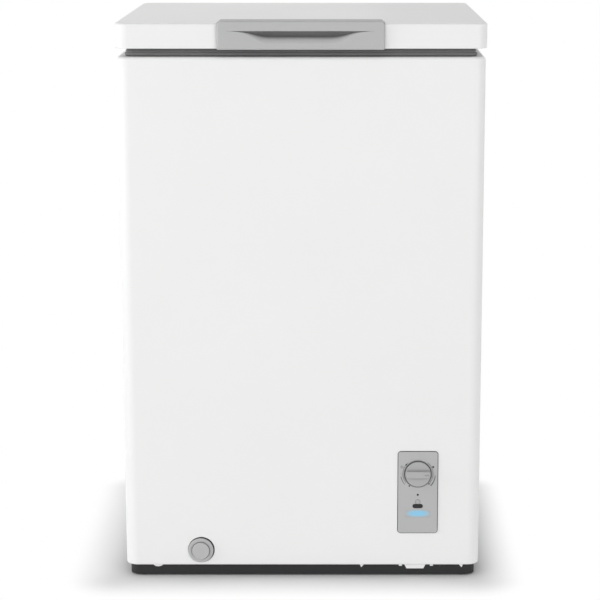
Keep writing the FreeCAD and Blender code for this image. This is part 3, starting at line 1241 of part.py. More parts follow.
def wiring_loom():
    """Cable from the control box to the start relay, over the compartment's floor."""
    x = PANEL_X + WIRE_HOLE_OFFSET
    box_end = FRONT + CONTROL_BOX_DEPTH
    relay_face = COMPRESSOR_Y - COMPRESSOR_RADIUS - RELAY_DEPTH
    entry_x, entry_z = COMPRESSOR_X + LOOM_ENTRY[0], COMPRESSOR_LOW + RELAY_LOW + LOOM_ENTRY[1]
    fall_start, fall_end = LOOM_FALL
    climb_start, climb_end = LOOM_CLIMB
    return tube([(x, box_end - CONTROL_BOX_WALL, WIRE_HOLE_Z), (x, box_end + fall_start, WIRE_HOLE_Z),
                 (x, box_end + fall_end, LOOM_LOW), (entry_x, relay_face - climb_start, LOOM_LOW),
                 (entry_x, relay_face - climb_end, entry_z), (entry_x, relay_face, entry_z)],
                LOOM_RADIUS, LOOM_BEND)


def thermostat_knob():
    """Disc with a raised grip bar, and a pointer notch at the bar's right end."""
    face = KNOB_BACK - KNOB_HEIGHT
    foot = KNOB_BACK - KNOB_DISC
    disc = rod(dial_point(KNOB_BACK), -Y_AXIS, KNOB_RADIUS, KNOB_DISC)
    disc = disc.makeFillet(KNOB_EDGE, edges_at(disc, 1, foot))
    cap = rod(dial_point(KNOB_BACK), -Y_AXIS, KNOB_RADIUS - KNOB_CAP_INSET, KNOB_HEIGHT)
    cap = cap.makeFillet(KNOB_EDGE, edges_at(cap, 1, face))
    beside = []
    for side in SIGNS:
        edge = KNOB_Z + side * KNOB_BAR / 2
        outside = edge + side * KNOB_RADIUS
        beside.append(extruded([(face - OVERCUT, edge), (foot + KNOB_DISH, edge + side * KNOB_DISH / 2),
                                (foot, outside), (face - OVERCUT, outside)],
                               0, PANEL_X - KNOB_RADIUS, PANEL_X + KNOB_RADIUS))
    length, width, depth = KNOB_NOTCH
    notch_end = PANEL_X + KNOB_RADIUS - KNOB_NOTCH_MARGIN
    notch = block((notch_end - length, notch_end), (face - OVERCUT, face + depth), around(KNOB_Z, width / 2))
    socket = rod(dial_point(KNOB_BACK + OVERCUT), -Y_AXIS, SHAFT_RADIUS + RUNNING_GAP,
                 SHAFT_IN_KNOB + FIT_GAP + OVERCUT)
    return union([disc, cap]).cut(beside + [notch, socket])


def thermostat_shaft():
    end = KNOB_BACK - SHAFT_IN_KNOB
    start = FRONT + SHAFT_IN_THERMOSTAT
    return rod(dial_point(end), Y_AXIS, SHAFT_RADIUS, start - end)


# ================================================================ drain plugs
def drain_plug():
    """Outer plug: flange, raised button with a groove round it, and a spigot in the drain."""
    seat = PLUG_SEAT - FIT_GAP
    centre = (PLUG_X, seat, PLUG_Z)
    face, crown = FRONT - PLUG_FACE, FRONT - PLUG_PROUD
    flange = rod(centre, -Y_AXIS, PLUG_RADIUS, seat - face)
    flange = flange.makeFillet(PLUG_EDGE, edges_at(flange, 1, face))
    button = rod(centre, -Y_AXIS, PLUG_BUTTON_RADIUS, seat - crown)
    button = button.makeFillet(PLUG_EDGE, edges_at(button, 1, crown))
    spigot = rod(centre, Y_AXIS, DRAIN_BORE - PLUG_PLAY, PLUG_SPIGOT)
    spigot = spigot.makeFillet(PLUG_SPIGOT_EDGE, edges_at(spigot, 1, seat + PLUG_SPIGOT))
    width, depth = PLUG_GROOVE
    groove = pipe((PLUG_X, face - OVERCUT, PLUG_Z), Y_AXIS, PLUG_BUTTON_RADIUS + width, PLUG_BUTTON_RADIUS,
                  OVERCUT + depth)
    return union([flange, button, spigot]).cut(groove)


def drain_stopper():
    """Inner rubber stopper with a pull tab, in the tank's floor."""
    floor = LINER_FLOOR + LINER_SHEET + GASKET_CLEARANCE
    top = floor + STOPPER_THICKNESS
    cap = rod((PLUG_X, DRAIN_Y, floor), Z_AXIS, DRAIN_BORE + STOPPER_RIM, STOPPER_THICKNESS)
    cap = cap.makeFillet(STOPPER_EDGE, edges_at(cap, 2, top))
    spigot = rod((PLUG_X, DRAIN_Y, floor - STOPPER_SPIGOT), Z_AXIS, DRAIN_BORE - PLUG_PLAY, STOPPER_SPIGOT)
    half_width, half_thickness, height = STOPPER_TAB
    tab = block(around(PLUG_X, half_width), around(DRAIN_Y, half_thickness), (top - OVERCUT, top + height))
    tab = tab.makeFillet(STOPPER_TAB_EDGE, edges_at(tab, 2, top + height))
    return union([cap, spigot, tab])


# ================================================================ lid
def handle_cup(play):
    """The block of the handle that reaches into the lid behind the scoop."""
    wall = SCOOP_WALL + play
    return block(around(0, SCOOP_HALF + wall), (FRONT - LID_FRONT_OVERHANG - OVERCUT,
                                                HANDLE_FRONT + SCOOP_DEPTH + wall),
                 (SCOOP_CEILING - SCOOP_HEIGHT - wall, SCOOP_CEILING + wall))


def lid_skin():
    """Painted steel top and sides of the lid, cut out under the handle, with a return flange below."""
    window = LID_PLAN.grown(-LID_FLANGE).slab(LID_BOTTOM - OVERCUT, LID_BOTTOM + SHEET + OVERCUT)
    under_handle = block(around(0, HANDLE_HALF + FIT_GAP), (HANDLE_FRONT, HANDLE_REAR + FIT_GAP),
                         (LID_TOP - LID_TOP_BEND, LID_TOP + OVERCUT))
    return lid_case(0).cut([LID_SPACE, window, under_handle, handle_cup(FIT_GAP)] + lid_holes())


LID_LINER_TOP = LID_BOTTOM + SHEET + LID_LINER_SHEET
DISH_LOW = LID_BOTTOM - LID_DISH_DROP


def lid_liner():
    """Inner panel of the lid: a flat rim for the gasket round a raised field."""
    inside = DISH_PLAN.grown(-LID_LINER_SHEET)
    rim = LID_PLAN.ring(0, -LID_LINER_RIM, LID_BOTTOM + SHEET, LID_LINER_TOP).common(LID_SPACE)
    seat = LID_PLAN.grown(-LID_FLANGE - FIT_GAP).slab(LID_BOTTOM, LID_LINER_TOP)
    seat = seat.cut(inside.slab(LID_BOTTOM - OVERCUT, LID_LINER_TOP + OVERCUT))
    dish = DISH_PLAN.tub(DISH_LOW, LID_LINER_TOP, LID_DISH_BEND)
    dish = dish.cut(inside.slab(DISH_LOW + LID_LINER_SHEET, LID_LINER_TOP + OVERCUT))
    return union([rim, seat, dish]).cut(screw_holes(handle_screw_points(), Z_AXIS, SMALL_SCREW))


def lid_foam():
    inside = DISH_PLAN.grown(-LID_LINER_SHEET)
    below = LID_PLAN.grown(OVERCUT).slab(LID_BOTTOM, LID_LINER_TOP)
    filling = union([LID_SPACE.cut(below), inside.slab(DISH_LOW + LID_LINER_SHEET, LID_LINER_TOP)])
    return filling.cut([handle_cup(FIT_GAP)] + lid_holes())


GASKET_LOW = CABINET_TOP + GASKET_CLEARANCE


def lid_gasket():
    """Magnetic gasket: a foot over the rim, a bellows waist and a heel held in the lid."""
    foot_top, heel_low = GASKET_LOW + GASKET_FOOT, LID_BOTTOM - GASKET_HEEL
    waist, heel = GASKET_WAIST_INSET, GASKET_HEEL_INSET
    body = [
        GASKET_PLAN.ring(0, -GASKET_WIDTH, GASKET_LOW, foot_top),
        GASKET_PLAN.ring(-waist, waist - GASKET_WIDTH, foot_top, heel_low),
        GASKET_PLAN.ring(-heel, heel - GASKET_WIDTH, heel_low, LID_BOTTOM),
    ]
    low, high = MAGNET_CHANNEL_HEIGHT
    near, far = MAGNET_CHANNEL
    return union(body).cut(GASKET_PLAN.ring(-near, -far, GASKET_LOW + low, GASKET_LOW + high))


def gasket_magnet():
    """Flexible magnet strip inside the gasket's foot."""
    low, high = MAGNET_CHANNEL_HEIGHT
    near, far = MAGNET_CHANNEL
    play = MAGNET_PLAY
    return GASKET_PLAN.ring(-near - play, play - far, GASKET_LOW + low + play, GASKET_LOW + high - play)


def scoop_section(x, size):
    """Closed outline of the scoop at x: a rounded lip, a hollow behind it and a flat ceiling."""
    def at(inwards, upwards):
        return Vector(x, HANDLE_FRONT + inwards, SCOOP_CEILING + upwards)

    inwards, upwards = 0.0, -SCOOP_HEIGHT * size
    start = at(inwards, upwards)
    edges = []
    for radius, low, high in (SCOOP_LIP, SCOOP_BACK):
        half = arc_step(radius * size, low, (low + high) / 2)
        whole = arc_step(radius * size, low, high)
        ends = [at(inwards + step[0], upwards + step[1]) for step in ((0, 0), half, whole)]
        edges.append(Part.Arc(*ends).toShape())
        inwards, upwards = inwards + whole[0], upwards + whole[1]
    run_out = OVERCUT * math.tan(math.radians(SCOOP_LIP[1]))
    corners = [at(inwards, 0), at(-OVERCUT, 0), at(-OVERCUT, -SCOOP_HEIGHT * size - run_out), start]
    edges += [Part.makeLine(a, b) for a, b in zip(corners, corners[1:])]
    return Part.Wire(edges)


def scoop():
    """Finger recess under a flat ceiling, full in the middle and fading out towards both ends."""
    stations = [(-share, size) for share, size in SCOOP_FADE[:0:-1]] + list(SCOOP_FADE)
    return Part.makeLoft([scoop_section(share * SCOOP_HALF, size) for share, size in stations], True)


def lid_handle():
    """Grey grip that wraps the lid's front edge, with a finger scoop in its face."""
    width = around(0, HANDLE_HALF)
    body = block(width, (HANDLE_FRONT, HANDLE_REAR), (HANDLE_BOTTOM, HANDLE_TOP))
    body = body.makeFillet(HANDLE_TOP_CORNER, [e for e in edges_along(body, 1) if limits(e, 2)[0] > LID_TOP])
    body = body.makeFillet(HANDLE_BOTTOM_CORNER,
                           [e for e in edges_along(body, 1) if limits(e, 2)[1] < LID_BOTTOM])
    body = body.makeFillet(HANDLE_EDGE, edges_at(body, 1, HANDLE_FRONT))
    past = around(0, HANDLE_HALF + OVERCUT)
    lid_room = block(past, (FRONT - LID_FRONT_OVERHANG - FIT_GAP, HANDLE_REAR + OVERCUT),
                     (LID_BOTTOM - FIT_GAP, LID_TOP + FIT_GAP))
    behind_lip = block(past, (HANDLE_FRONT + HANDLE_LIP_DEPTH, HANDLE_REAR + OVERCUT),
                       (HANDLE_BOTTOM - OVERCUT, LID_BOTTOM))
    holes = screw_holes(handle_screw_points(), Z_AXIS, HANDLE_SCREW)
    sinks = [rod((x, y, z - HANDLE_SCREW.head_height), Z_AXIS, HANDLE_SCREW.head_radius + FIT_GAP,
                 HANDLE_SCREW.head_height) for x, y, z in handle_screw_points()]
    return union([body.cut([lid_room, behind_lip] + holes + sinks), handle_cup(0)]).cut(scoop())


# ================================================================ hinges
def on_hinge_axis(x):
    return (x, HINGE_Y, HINGE_Z)


def hinge_bracket(side):
    """Fixed half: a plate on the cabinet's back that carries the spring barrel."""
    x = side * HINGE_X
    top = BARREL_FOOT - BRACKET_BELOW_BARREL
    plate = block(around(x, BRACKET_WIDTH / 2), (BACK, BACK + HINGE_SHEET), (top - BRACKET_HEIGHT, top))
    plate = plate.makeFillet(BRACKET_CORNER, edges_along(plate, 1))
    inner, outer = NECK_DEPTH
    behind, below = NECK_REACH
    profile = [(BACK, BARREL_FOOT - inner), (BACK + HINGE_SHEET, BARREL_FOOT - outer),
               (HINGE_Y + behind, HINGE_Z - below), (HINGE_Y - below, HINGE_Z),
               (BACK + HINGE_SHEET / 2, BARREL_FOOT + BRACKET_BELOW_BARREL), (BACK, top)]
    neck = extruded(profile, 0, x - BARREL_HALF, x + BARREL_HALF)
    barrel = rod(on_hinge_axis(x - BARREL_HALF), X_AXIS, BARREL_RADIUS, BARREL_LENGTH)
    chamber = rod(on_hinge_axis(x - BARREL_HALF + BUSH_LENGTH), X_AXIS, SPRING_BORE,
                  BARREL_LENGTH - 2 * BUSH_LENGTH)
    bore = rod(on_hinge_axis(x - BARREL_HALF - OVERCUT), X_AXIS, SHAFT_RADIUS + RUNNING_GAP,
               BARREL_LENGTH + 2 * OVERCUT)
    holes = screw_holes(bracket_screw_points(side), -Y_AXIS, HINGE_SCREW)
    return union([plate, neck, barrel]).cut([chamber, bore] + holes)


def hinge_leaf(side):
    """Moving half: a plate on the lid's rear face with a knuckle at each end of the barrel."""
    x = side * HINGE_X
    low = LID_BOTTOM + LEAF_FOOT
    high = low + LEAF_HEIGHT
    plate = block(around(x, LEAF_HALF), (LID_REAR, LID_REAR + HINGE_SHEET), (low, high))
    upper_corners = [e for e in edges_along(plate, 1) if limits(e, 2)[0] > high - OVERCUT]
    pieces = [plate.makeFillet(LEAF_CORNER, upper_corners)]
    arm_top = low + LEAF_ARM_HEIGHT
    profile = [(LID_REAR, low), (LID_REAR, arm_top), (LID_REAR + HINGE_SHEET, arm_top),
               (HINGE_Y + LEAF_ARM_NOSE[0], HINGE_Z + LEAF_ARM_NOSE[1]),
               (HINGE_Y - LEAF_ARM_HEEL[0], HINGE_Z + LEAF_ARM_HEEL[1])]
    for start in (x - LEAF_HALF, x + LEAF_HALF - KNUCKLE_LENGTH):
        pieces.append(rod(on_hinge_axis(start), X_AXIS, BARREL_RADIUS, KNUCKLE_LENGTH))
        pieces.append(extruded(profile, 0, start, start + KNUCKLE_LENGTH))
    bore = rod(on_hinge_axis(x - LEAF_HALF - OVERCUT), X_AXIS, PIN_BORE_IN_LEAF, 2 * (LEAF_HALF + OVERCUT))
    return union(pieces).cut([bore] + screw_holes(leaf_screw_points(side), -Y_AXIS, HINGE_SCREW))


def hinge_pins():
    """One steel pin a hinge, pressed into the leaf's knuckles, with a head at its outer end."""
    solids = []
    for side in SIGNS:
        x = side * HINGE_X
        outer = x + side * LEAF_HALF
        pin = rod(on_hinge_axis(x - LEAF_HALF), X_AXIS, PIN_RADIUS, 2 * LEAF_HALF)
        head = rod(on_hinge_axis(min(outer, outer + side * PIN_HEAD)), X_AXIS, PIN_HEAD_RADIUS, PIN_HEAD)
        solids.append(union([pin, head]))
    return solids


def hinge_springs():
    """Counterbalance springs, wound round the pins inside the barrels."""
    length = BARREL_LENGTH - 2 * (BUSH_LENGTH + SPRING_WIRE + SPRING_PLAY)
    mean = SPRING_BORE - SPRING_WIRE - SPRING_PLAY
    solids = []
    for side in SIGNS:
        helix = Part.makeHelix(SPRING_PITCH, length, mean)
        section = Part.Wire([Part.makeCircle(SPRING_WIRE, Vector(mean, 0, 0), Y_AXIS)])
        spring = Part.Wire(helix.Edges).makePipeShell([section], True, True)
        spring.rotate(Vector(0, 0, 0), Y_AXIS, 90)
        spring.translate(Vector(*on_hinge_axis(side * HINGE_X - length / 2)))
        solids.append(spring)
    return solids


# ================================================================ ventilation grille
def side_grille():
    """Louvred plastic grille over the air opening in the shell's right side."""
    z = (GRILLE_BOTTOM, GRILLE_TOP)

    def moved(pair, by):
        return (pair[0] - by, pair[1] + by)

    rim = block((SIDE, SIDE + GRILLE_FLANGE_THICKNESS), moved(GRILLE_Y, GRILLE_FLANGE),
                moved(z, GRILLE_FLANGE))
    rim = rim.makeFillet(GRILLE_CORNER, edges_along(rim, 0))
    collar = block((SIDE - GRILLE_DEPTH, SIDE + OVERCUT), moved(GRILLE_Y, -FIT_GAP), moved(z, -FIT_GAP))
    window = block((SIDE - GRILLE_DEPTH - OVERCUT, SIDE + 2 * GRILLE_FLANGE_THICKNESS),
                   moved(GRILLE_Y, -GRILLE_FRAME), moved(z, -GRILLE_FRAME))
    pieces = [union([rim, collar]).cut(window)]
    inside_y = moved(GRILLE_Y, -GRILLE_FRAME / 2)
    inner, outer = SIDE - GRILLE_DEPTH, SIDE + GRILLE_FLANGE_THICKNESS / 2
    for low in spread(z[0] + BLADE_MARGIN, z[1] - BLADE_MARGIN - BLADE_SLOPE, BLADE_PITCH):
        section = [(inner, low + BLADE_SLOPE), (inner, low + BLADE_SLOPE + BLADE_THICKNESS),
                   (outer, low + BLADE_THICKNESS), (outer, low)]
        pieces.append(extruded(section, 1, *inside_y))
    for n in range(1, MULLION_COUNT + 1):
        y = GRILLE_Y[0] + GRILLE_LENGTH * n / (MULLION_COUNT + 1)
        pieces.append(block((inner, SIDE - GRILLE_DEPTH / 2), around(y, MULLION_WIDTH / 2),
                            moved(z, -GRILLE_FRAME / 2)))
    return union(pieces)


# ================================================================ basket
def wires(runs):
    """Round wires welded into one piece. Each run is (start, direction, length)."""
    return union([rod(start, direction, BASKET_WIRE, length) for start, direction, length in runs])


def basket_floor():
    inset = 2 * BASKET_WIRE + FIT_GAP
    x, y = (BASKET_X[0] + inset, BASKET_X[1] - inset), (BASKET_Y[0] + inset, BASKET_Y[1] - inset)
    low = BASKET_Z[0] + BASKET_WIRE
    margin = 2 * BASKET_WIRE
    across = [((x[0], at, low), X_AXIS, x[1] - x[0])
              for at in spread(y[0] + margin, y[1] - margin, BASKET_PITCH)]
    along = [((at, y[0], low + WIRE_STEP), Y_AXIS, y[1] - y[0])
             for at in spread(x[0] + margin, x[1] - margin, BASKET_FLOOR_PITCH)]
    return wires(across + along)


def basket_wall(place, direction, span, inset):
    """Uprights and three cross wires. place(along, depth, z) puts a point on that wall."""
    low, high = span[0] + inset, span[1] - inset
    top = BASKET_Z[1] - BASKET_RIM_WIRE - TOUCH
    uprights = [(place(at, 0, BASKET_Z[0]), Z_AXIS, top - BASKET_Z[0])
                for at in spread(low, high, BASKET_PITCH)]
    bands = [(place(low - BASKET_WIRE, WIRE_STEP, BASKET_Z[0] + z), direction, high - low + 2 * BASKET_WIRE)
             for z in BASKET_BANDS]
    return wires(uprights + bands)


def basket_side(which):
    face = BASKET_X[0] + BASKET_WIRE if which < 0 else BASKET_X[1] - BASKET_WIRE
    return basket_wall(lambda at, depth, z: (face - which * depth, at, z), Y_AXIS, BASKET_Y,
                       BASKET_CORNER_INSET[1])


def basket_end(which):
    face = BASKET_Y[0] + BASKET_WIRE if which < 0 else BASKET_Y[1] - BASKET_WIRE
    return basket_wall(lambda at, depth, z: (at, face - which * depth, z), X_AXIS, BASKET_X,
                       BASKET_CORNER_INSET[0])


def basket_rim():
    """Closed loop of thicker wire along the top of the four walls."""
    wire = BASKET_RIM_WIRE
    x = (BASKET_X[0] + wire, BASKET_X[1] - wire)
    y = (BASKET_Y[0] + wire - BASKET_RIM_OUT, BASKET_Y[1] - wire + BASKET_RIM_OUT)
    seam = ((x[0] + x[1]) / 2, y[0])
    corners = [seam, (x[1], y[0]), (x[1], y[1]), (x[0], y[1]), (x[0], y[0]), seam]
    return tube([(cx, cy, BASKET_Z[1]) for cx, cy in corners], wire, BASKET_RIM_CORNER)


def basket_hanger(which):
    """Hooked wire on an end wall. It rests on the mouth frame's ledge."""
    wire = BASKET_RIM_WIRE
    end = 0 if which < 0 else 1
    hook_y = LINER_PLAN.y[end] + which * (LEDGE_WIDTH - FRAME_WALL - wire - HANGER_END_GAP)
    inside_y = BASKET_Y[end] - which * (3 * wire - BASKET_RIM_OUT + TOUCH)
    hook_z = LEDGE_Z + wire + GASKET_CLEARANCE
    low = BASKET_Z[1] - HANGER_LENGTH
    left, right = around((BASKET_X[0] + BASKET_X[1]) / 2, HANGER_HALF_WIDTH)
    points = [(left, inside_y, low), (left, inside_y, hook_z), (left, hook_y, hook_z),
              (right, hook_y, hook_z), (right, inside_y, hook_z), (right, inside_y, low)]
    return tube(points, wire, HANGER_BEND)


# ================================================================ all sub-parts
def screws(points, direction, size):
    return [screw(point, direction, size) for point in points]


def cabinet_nodes():
    evaporator, condenser = evaporator_coil(), condenser_coil()
    rear_points = back_panel_screw_points() + rear_cover_screw_points()
    return {
        "outer_shell": outer_shell(),
        "back_panel": back_panel(),
        "rear_cover": rear_cover(),
        "cord_gland": cord_gland(),
        "bottom_plate": bottom_plate(),
        "inner_liner": inner_liner(),
        "mouth_frame": mouth_frame(),
        "foam_body": foam_body([evaporator] + condenser),
        "evaporator_coil": evaporator,
        "condenser_coil": condenser,
        "drain_tube": drain_tube(),
        "plinth": plinth(),
        "feet": feet(),
        "side_grille": side_grille(),
        "rear_screws": screws(rear_points, -Y_AXIS, SMALL_SCREW),
        "hinge_bracket_left": hinge_bracket(-1),
        "hinge_bracket_right": hinge_bracket(1),
        "hinge_springs": hinge_springs(),
        "bracket_screws": screws(both_sides(bracket_screw_points), -Y_AXIS, HINGE_SCREW),
    }


def machine_nodes():
    return {
        "compressor_tray": compressor_tray(),
        "compressor_rubbers": compressor_rubbers(),
        "compressor_bolts": compressor_bolts(),
        "compressor_foot_plate": compressor_foot_plate(),
        "compressor_shell": compressor_shell(),
        "compressor_motor": compressor_motor(),
        "relay_cover": relay_cover(),
        "suction_tube": suction_tube(),
        "discharge_tube": discharge_tube(),
        "process_tube": process_tube(),
        "filter_drier": filter_drier(),
        "capillary_tube": capillary_tube(),
    }


def control_nodes():
    return {
        "control_bezel": control_bezel(),
        "indicator_lenses": indicator_lenses(),
        "lamp_board": lamp_board(),
        "control_box": control_box(),
        "thermostat_body": thermostat_body(),
        "temperature_sensor": temperature_sensor(),
        "wiring_loom": wiring_loom(),
        "thermostat_knob": thermostat_knob(),
        "thermostat_shaft": thermostat_shaft(),
        "drain_plug": drain_plug(),
        "drain_stopper": drain_stopper(),
    }


def lid_nodes():
    return {
        "lid_skin": lid_skin(),
        "lid_liner": lid_liner(),
        "lid_foam": lid_foam(),
        "lid_gasket": lid_gasket(),
        "gasket_magnet": gasket_magnet(),
        "lid_handle": lid_handle(),
        "handle_screws": screws(handle_screw_points(), Z_AXIS, HANDLE_SCREW),
        "hinge_leaf_left": hinge_leaf(-1),
        "hinge_leaf_right": hinge_leaf(1),
        "hinge_pins": hinge_pins(),
        "leaf_screws": screws(both_sides(leaf_screw_points), -Y_AXIS, HINGE_SCREW),
    }


def basket_nodes():
    return {
        "basket_floor": basket_floor(),
        "basket_side_left": basket_side(-1),
        "basket_side_right": basket_side(1),
        "basket_end_front": basket_end(-1),
        "basket_end_rear": basket_end(1),
        "basket_rim": basket_rim(),
        "basket_hangers": [basket_hanger(side) for side in SIGNS],
    }


def main():
    os.makedirs("parts", exist_ok=True)
    for group in (cabinet_nodes, machine_nodes, control_nodes, lid_nodes, basket_nodes):
        for name, shape in group().items():
            if isinstance(shape, list):
                shape = Part.makeCompound(shape)
            shape.exportStep(os.path.join("parts", name + ".step"))
            print(f"{name:24s} solids {len(shape.Solids):3d}  valid {shape.isValid()}"
                  f"  {shape.Volume / 1000:10.2f} cm3")


main()
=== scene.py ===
import json
import math

import bmesh
import bpy
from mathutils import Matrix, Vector

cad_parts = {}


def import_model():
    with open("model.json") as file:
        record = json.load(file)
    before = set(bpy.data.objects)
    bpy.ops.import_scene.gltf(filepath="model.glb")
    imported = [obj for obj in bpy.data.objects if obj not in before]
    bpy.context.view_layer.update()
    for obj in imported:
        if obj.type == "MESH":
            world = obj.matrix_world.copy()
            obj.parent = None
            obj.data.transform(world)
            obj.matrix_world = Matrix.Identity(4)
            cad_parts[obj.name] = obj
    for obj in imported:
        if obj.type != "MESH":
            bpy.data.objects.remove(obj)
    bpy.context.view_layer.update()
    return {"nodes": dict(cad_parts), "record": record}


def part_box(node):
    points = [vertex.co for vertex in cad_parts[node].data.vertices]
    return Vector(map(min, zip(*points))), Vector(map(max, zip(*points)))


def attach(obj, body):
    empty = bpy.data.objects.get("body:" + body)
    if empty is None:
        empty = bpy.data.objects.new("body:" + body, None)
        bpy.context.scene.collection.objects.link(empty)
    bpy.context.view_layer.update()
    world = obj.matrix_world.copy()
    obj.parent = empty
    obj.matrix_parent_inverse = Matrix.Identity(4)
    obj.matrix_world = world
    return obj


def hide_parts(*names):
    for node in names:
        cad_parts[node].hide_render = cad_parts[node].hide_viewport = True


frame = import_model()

# The looks of a compact chest freezer, around its CAD frame. Metres, +Z up, front on -Y.
# Places come from the frame's own boxes. Colours are linear, as Blender's sockets take them.

NODES = frame["nodes"]

# ---------------------------------------------------------------- named values
CAMERA_LENS = 119.9            # millimetres, on the 36 mm sensor
CAMERA_BEFORE_FRONT = 2.937    # from the cabinet's front face
CAMERA_X = 0.0468
CAMERA_HEIGHT = 1.0596
CAMERA_PITCH = 11.96           # degrees down
CAMERA_SHIFT = -0.0545         # of the frame's width: the object stands a little left of the lens's axis

FLOOR_HALF = 40.0
FLOOR_WHITE_FROM = 0.085       # metres from the object's footprint to where the floor is plain white
FLOOR_FADE_CENTRE = (-0.010, -0.022, 0.0)      # the fade reaches a little further ahead and to the left
FLOOR_LIFT = 0.02              # light added to what the camera sees of the floor
FLOOR_GREYS = (0.86, 0.87)     # the floor's own colour wanders between these
FLOOR_SHADE_REACH = 0.05            # metres: how far out painted shade darkens the floor round what stands on it
FLOOR_SHADE_DARKEST = 0.78
WORLD_LEVEL = 0.50             # strength of the even light from all round

PRINT_LIFT = 0.00006           # how far a printed mark stands on its surface
PRINT_DEPTH = 0.00004
DARK_INK = 0.04                # linear greys
PALE_INK = 0.17

# The dial's marks, from the knob's rim outwards. Angles in degrees, counter-clockwise from the right.
SCALE_GAP = 0.0062             # to the two tapered arcs
TAPERED_ARCS = ((221, 190, 0.0, 0.0009, 0.0012, 16),       # start, end, inner edge, outer edge at the
                (-44, -6, 0.0004, 0.0026, 0.0014, 20))     # start and at the end, and steps
THIN_ARC = (0.0033, 0.0040)    # inner and outer edge
THIN_ARC_STARTS = (-38, 130)
THIN_ARC_SWEEP = 88
TICK = (0.0028, 0.0048)
TICKS = ((141, 3.0), (236, 2.6), (-43, 2.6))               # where each tick stands, and half its width

# The small signs: how far aside of and above the dial's middle, and their radii.
RING_SIGN_AT = (-0.0244, 0.0109)
RING_SIGN = (0.0013, 0.0021)
DOT_SIGN_AT = (0.0232, 0.0109)
DOT_SIGN = 0.0016
LAMP_RING = (0.0035, 0.0041)   # round the small lamp
LAMP_RING_BELOW_LENSES_TOP = 0.0035
LOW_DOT = 0.0017
LOW_DOT_BELOW_PANEL_TOP = 0.0681

BADGE_HALF = 0.0080
BADGE_RADIUS = 0.0034
BADGE_UP = 0.0431              # from the panel's lower edge to its middle
BADGE_LIFT = 0.0004
BADGE_EDGE = 0.6               # of its lift, where its chamfer starts
BADGE_CHAMFER = 0.0003

PANEL_CORNER = 0.0045
SHADOW_STRIP_WIDTH = 0.0010            # painted shadow: the thin dark strip round the panel, standing for the shade at its edge
SHADOW_STRIP_PROUD = 0.0004
SHADOW_STRIP_CROWN = 1.3               # of the proud height above, at the strip's middle

GASKET_WIDTH = 0.020
GASKET_CORNER = 0.014
GASKET_CORNER_LEAST = 0.002

LAMP_UP = 0.0078               # from the wide window's lower edge to the lamp behind it
LAMP_REACH = (0.0255, 0.0082)  # how far its light spreads, across and up


# ================================================================ node helpers
class Shader:
    """A node material under construction, with one Principled shader."""

    def __init__(self, name):
        self.material = bpy.data.materials.new(name)
        self.material.use_nodes = True
        self.tree = self.material.node_tree
        self.surface = self.tree.nodes["Principled BSDF"]
        place = self.node("ShaderNodeTexCoord")
        self.place = place.outputs["Object"]

    def node(self, kind, **settings):
        made = self.tree.nodes.new(kind)
        for key, value in settings.items():
            setattr(made, key, value)
        return made

    def link(self, source, target):
        self.tree.links.new(source, target)

    def set(self, **values):
        """Uniform values, by the socket's name with underscores for spaces."""
        for key, value in values.items():
            self.surface.inputs[key.replace("_", " ")].default_value = value
        return self

    def noise(self, scale, detail=2.0, roughness=0.5, stretch=None):
        made = self.node("ShaderNodeTexNoise")
        made.inputs["Scale"].default_value = scale
        made.inputs["Detail"].default_value = detail
        made.inputs["Roughness"].default_value = roughness
        self.link(self.stretched(stretch), made.inputs["Vector"])
        return made.outputs["Fac"]

    def cells(self, scale, feature="F1", output="Distance", stretch=None):
        made = self.node("ShaderNodeTexVoronoi", feature=feature)
        made.inputs["Scale"].default_value = scale
        self.link(self.stretched(stretch), made.inputs["Vector"])
        return made.outputs[output]

    def stretched(self, stretch):
        if stretch is None:
            return self.place
        made = self.node("ShaderNodeMapping")
        made.inputs["Scale"].default_value = stretch
        self.link(self.place, made.inputs["Vector"])
        return made.outputs["Vector"]

    def ramp(self, source, stops):
        """Colours or greys at positions along the source's 0 to 1."""
        made = self.node("ShaderNodeValToRGB")
        line = made.color_ramp.elements
        while len(line) < len(stops):
            line.new(0.5)
        for element, (position, colour) in zip(line, stops):
            element.position = position
            element.color = grey(colour) if isinstance(colour, float) else (*colour, 1.0)
        self.link(source, made.inputs["Fac"])
        return made.outputs["Color"]

    def span(self, source, low, high):
        """The source's 0 to 1 stretched to low to high."""
        made = self.node("ShaderNodeMapRange")
        made.inputs["To Min"].default_value = low
        made.inputs["To Max"].default_value = high
        self.link(source, made.inputs["Value"])
        return made.outputs["Result"]

    def vector(self, operation, source, value=None):
        """One vector operation on the source, with a fixed second vector where it takes one."""
        made = self.node("ShaderNodeVectorMath", operation=operation)
        self.link(source, made.inputs[0])
        if value is not None:
            made.inputs[1].default_value = value
        return made.outputs["Value" if operation == "LENGTH" else "Vector"]

    def colour_from(self, source):
        self.link(source, self.surface.inputs["Base Color"])
        return self

    def roughness_from(self, source, low, high):
        self.link(self.span(source, low, high), self.surface.inputs["Roughness"])
        return self

    def bump(self, source, depth, strength=1.0):
        """Relief of that depth in metres. Several bumps stack."""
        made = self.node("ShaderNodeBump")
        made.inputs["Strength"].default_value = strength
        made.inputs["Distance"].default_value = depth
        self.link(source, made.inputs["Height"])
        target = self.surface.inputs["Normal"]
        if target.is_linked:
            self.link(target.links[0].from_socket, made.inputs["Normal"])
        self.link(made.outputs["Normal"], target)
        return self


def grey(value):
    return (value, value, value, 1.0)


def tint(colour, factor):
    return tuple(min(1.0, channel * factor) for channel in colour)


def varied(shader, colour, amount, scale, detail=3.0):
    """Base colour that wanders by amount either side, over patches of 1/scale metres."""
    patches = shader.noise(scale, detail)
    stops = [(0.25, tint(colour, 1 - amount)), (0.75, tint(colour, 1 + amount))]
    return shader.colour_from(shader.ramp(patches, stops))


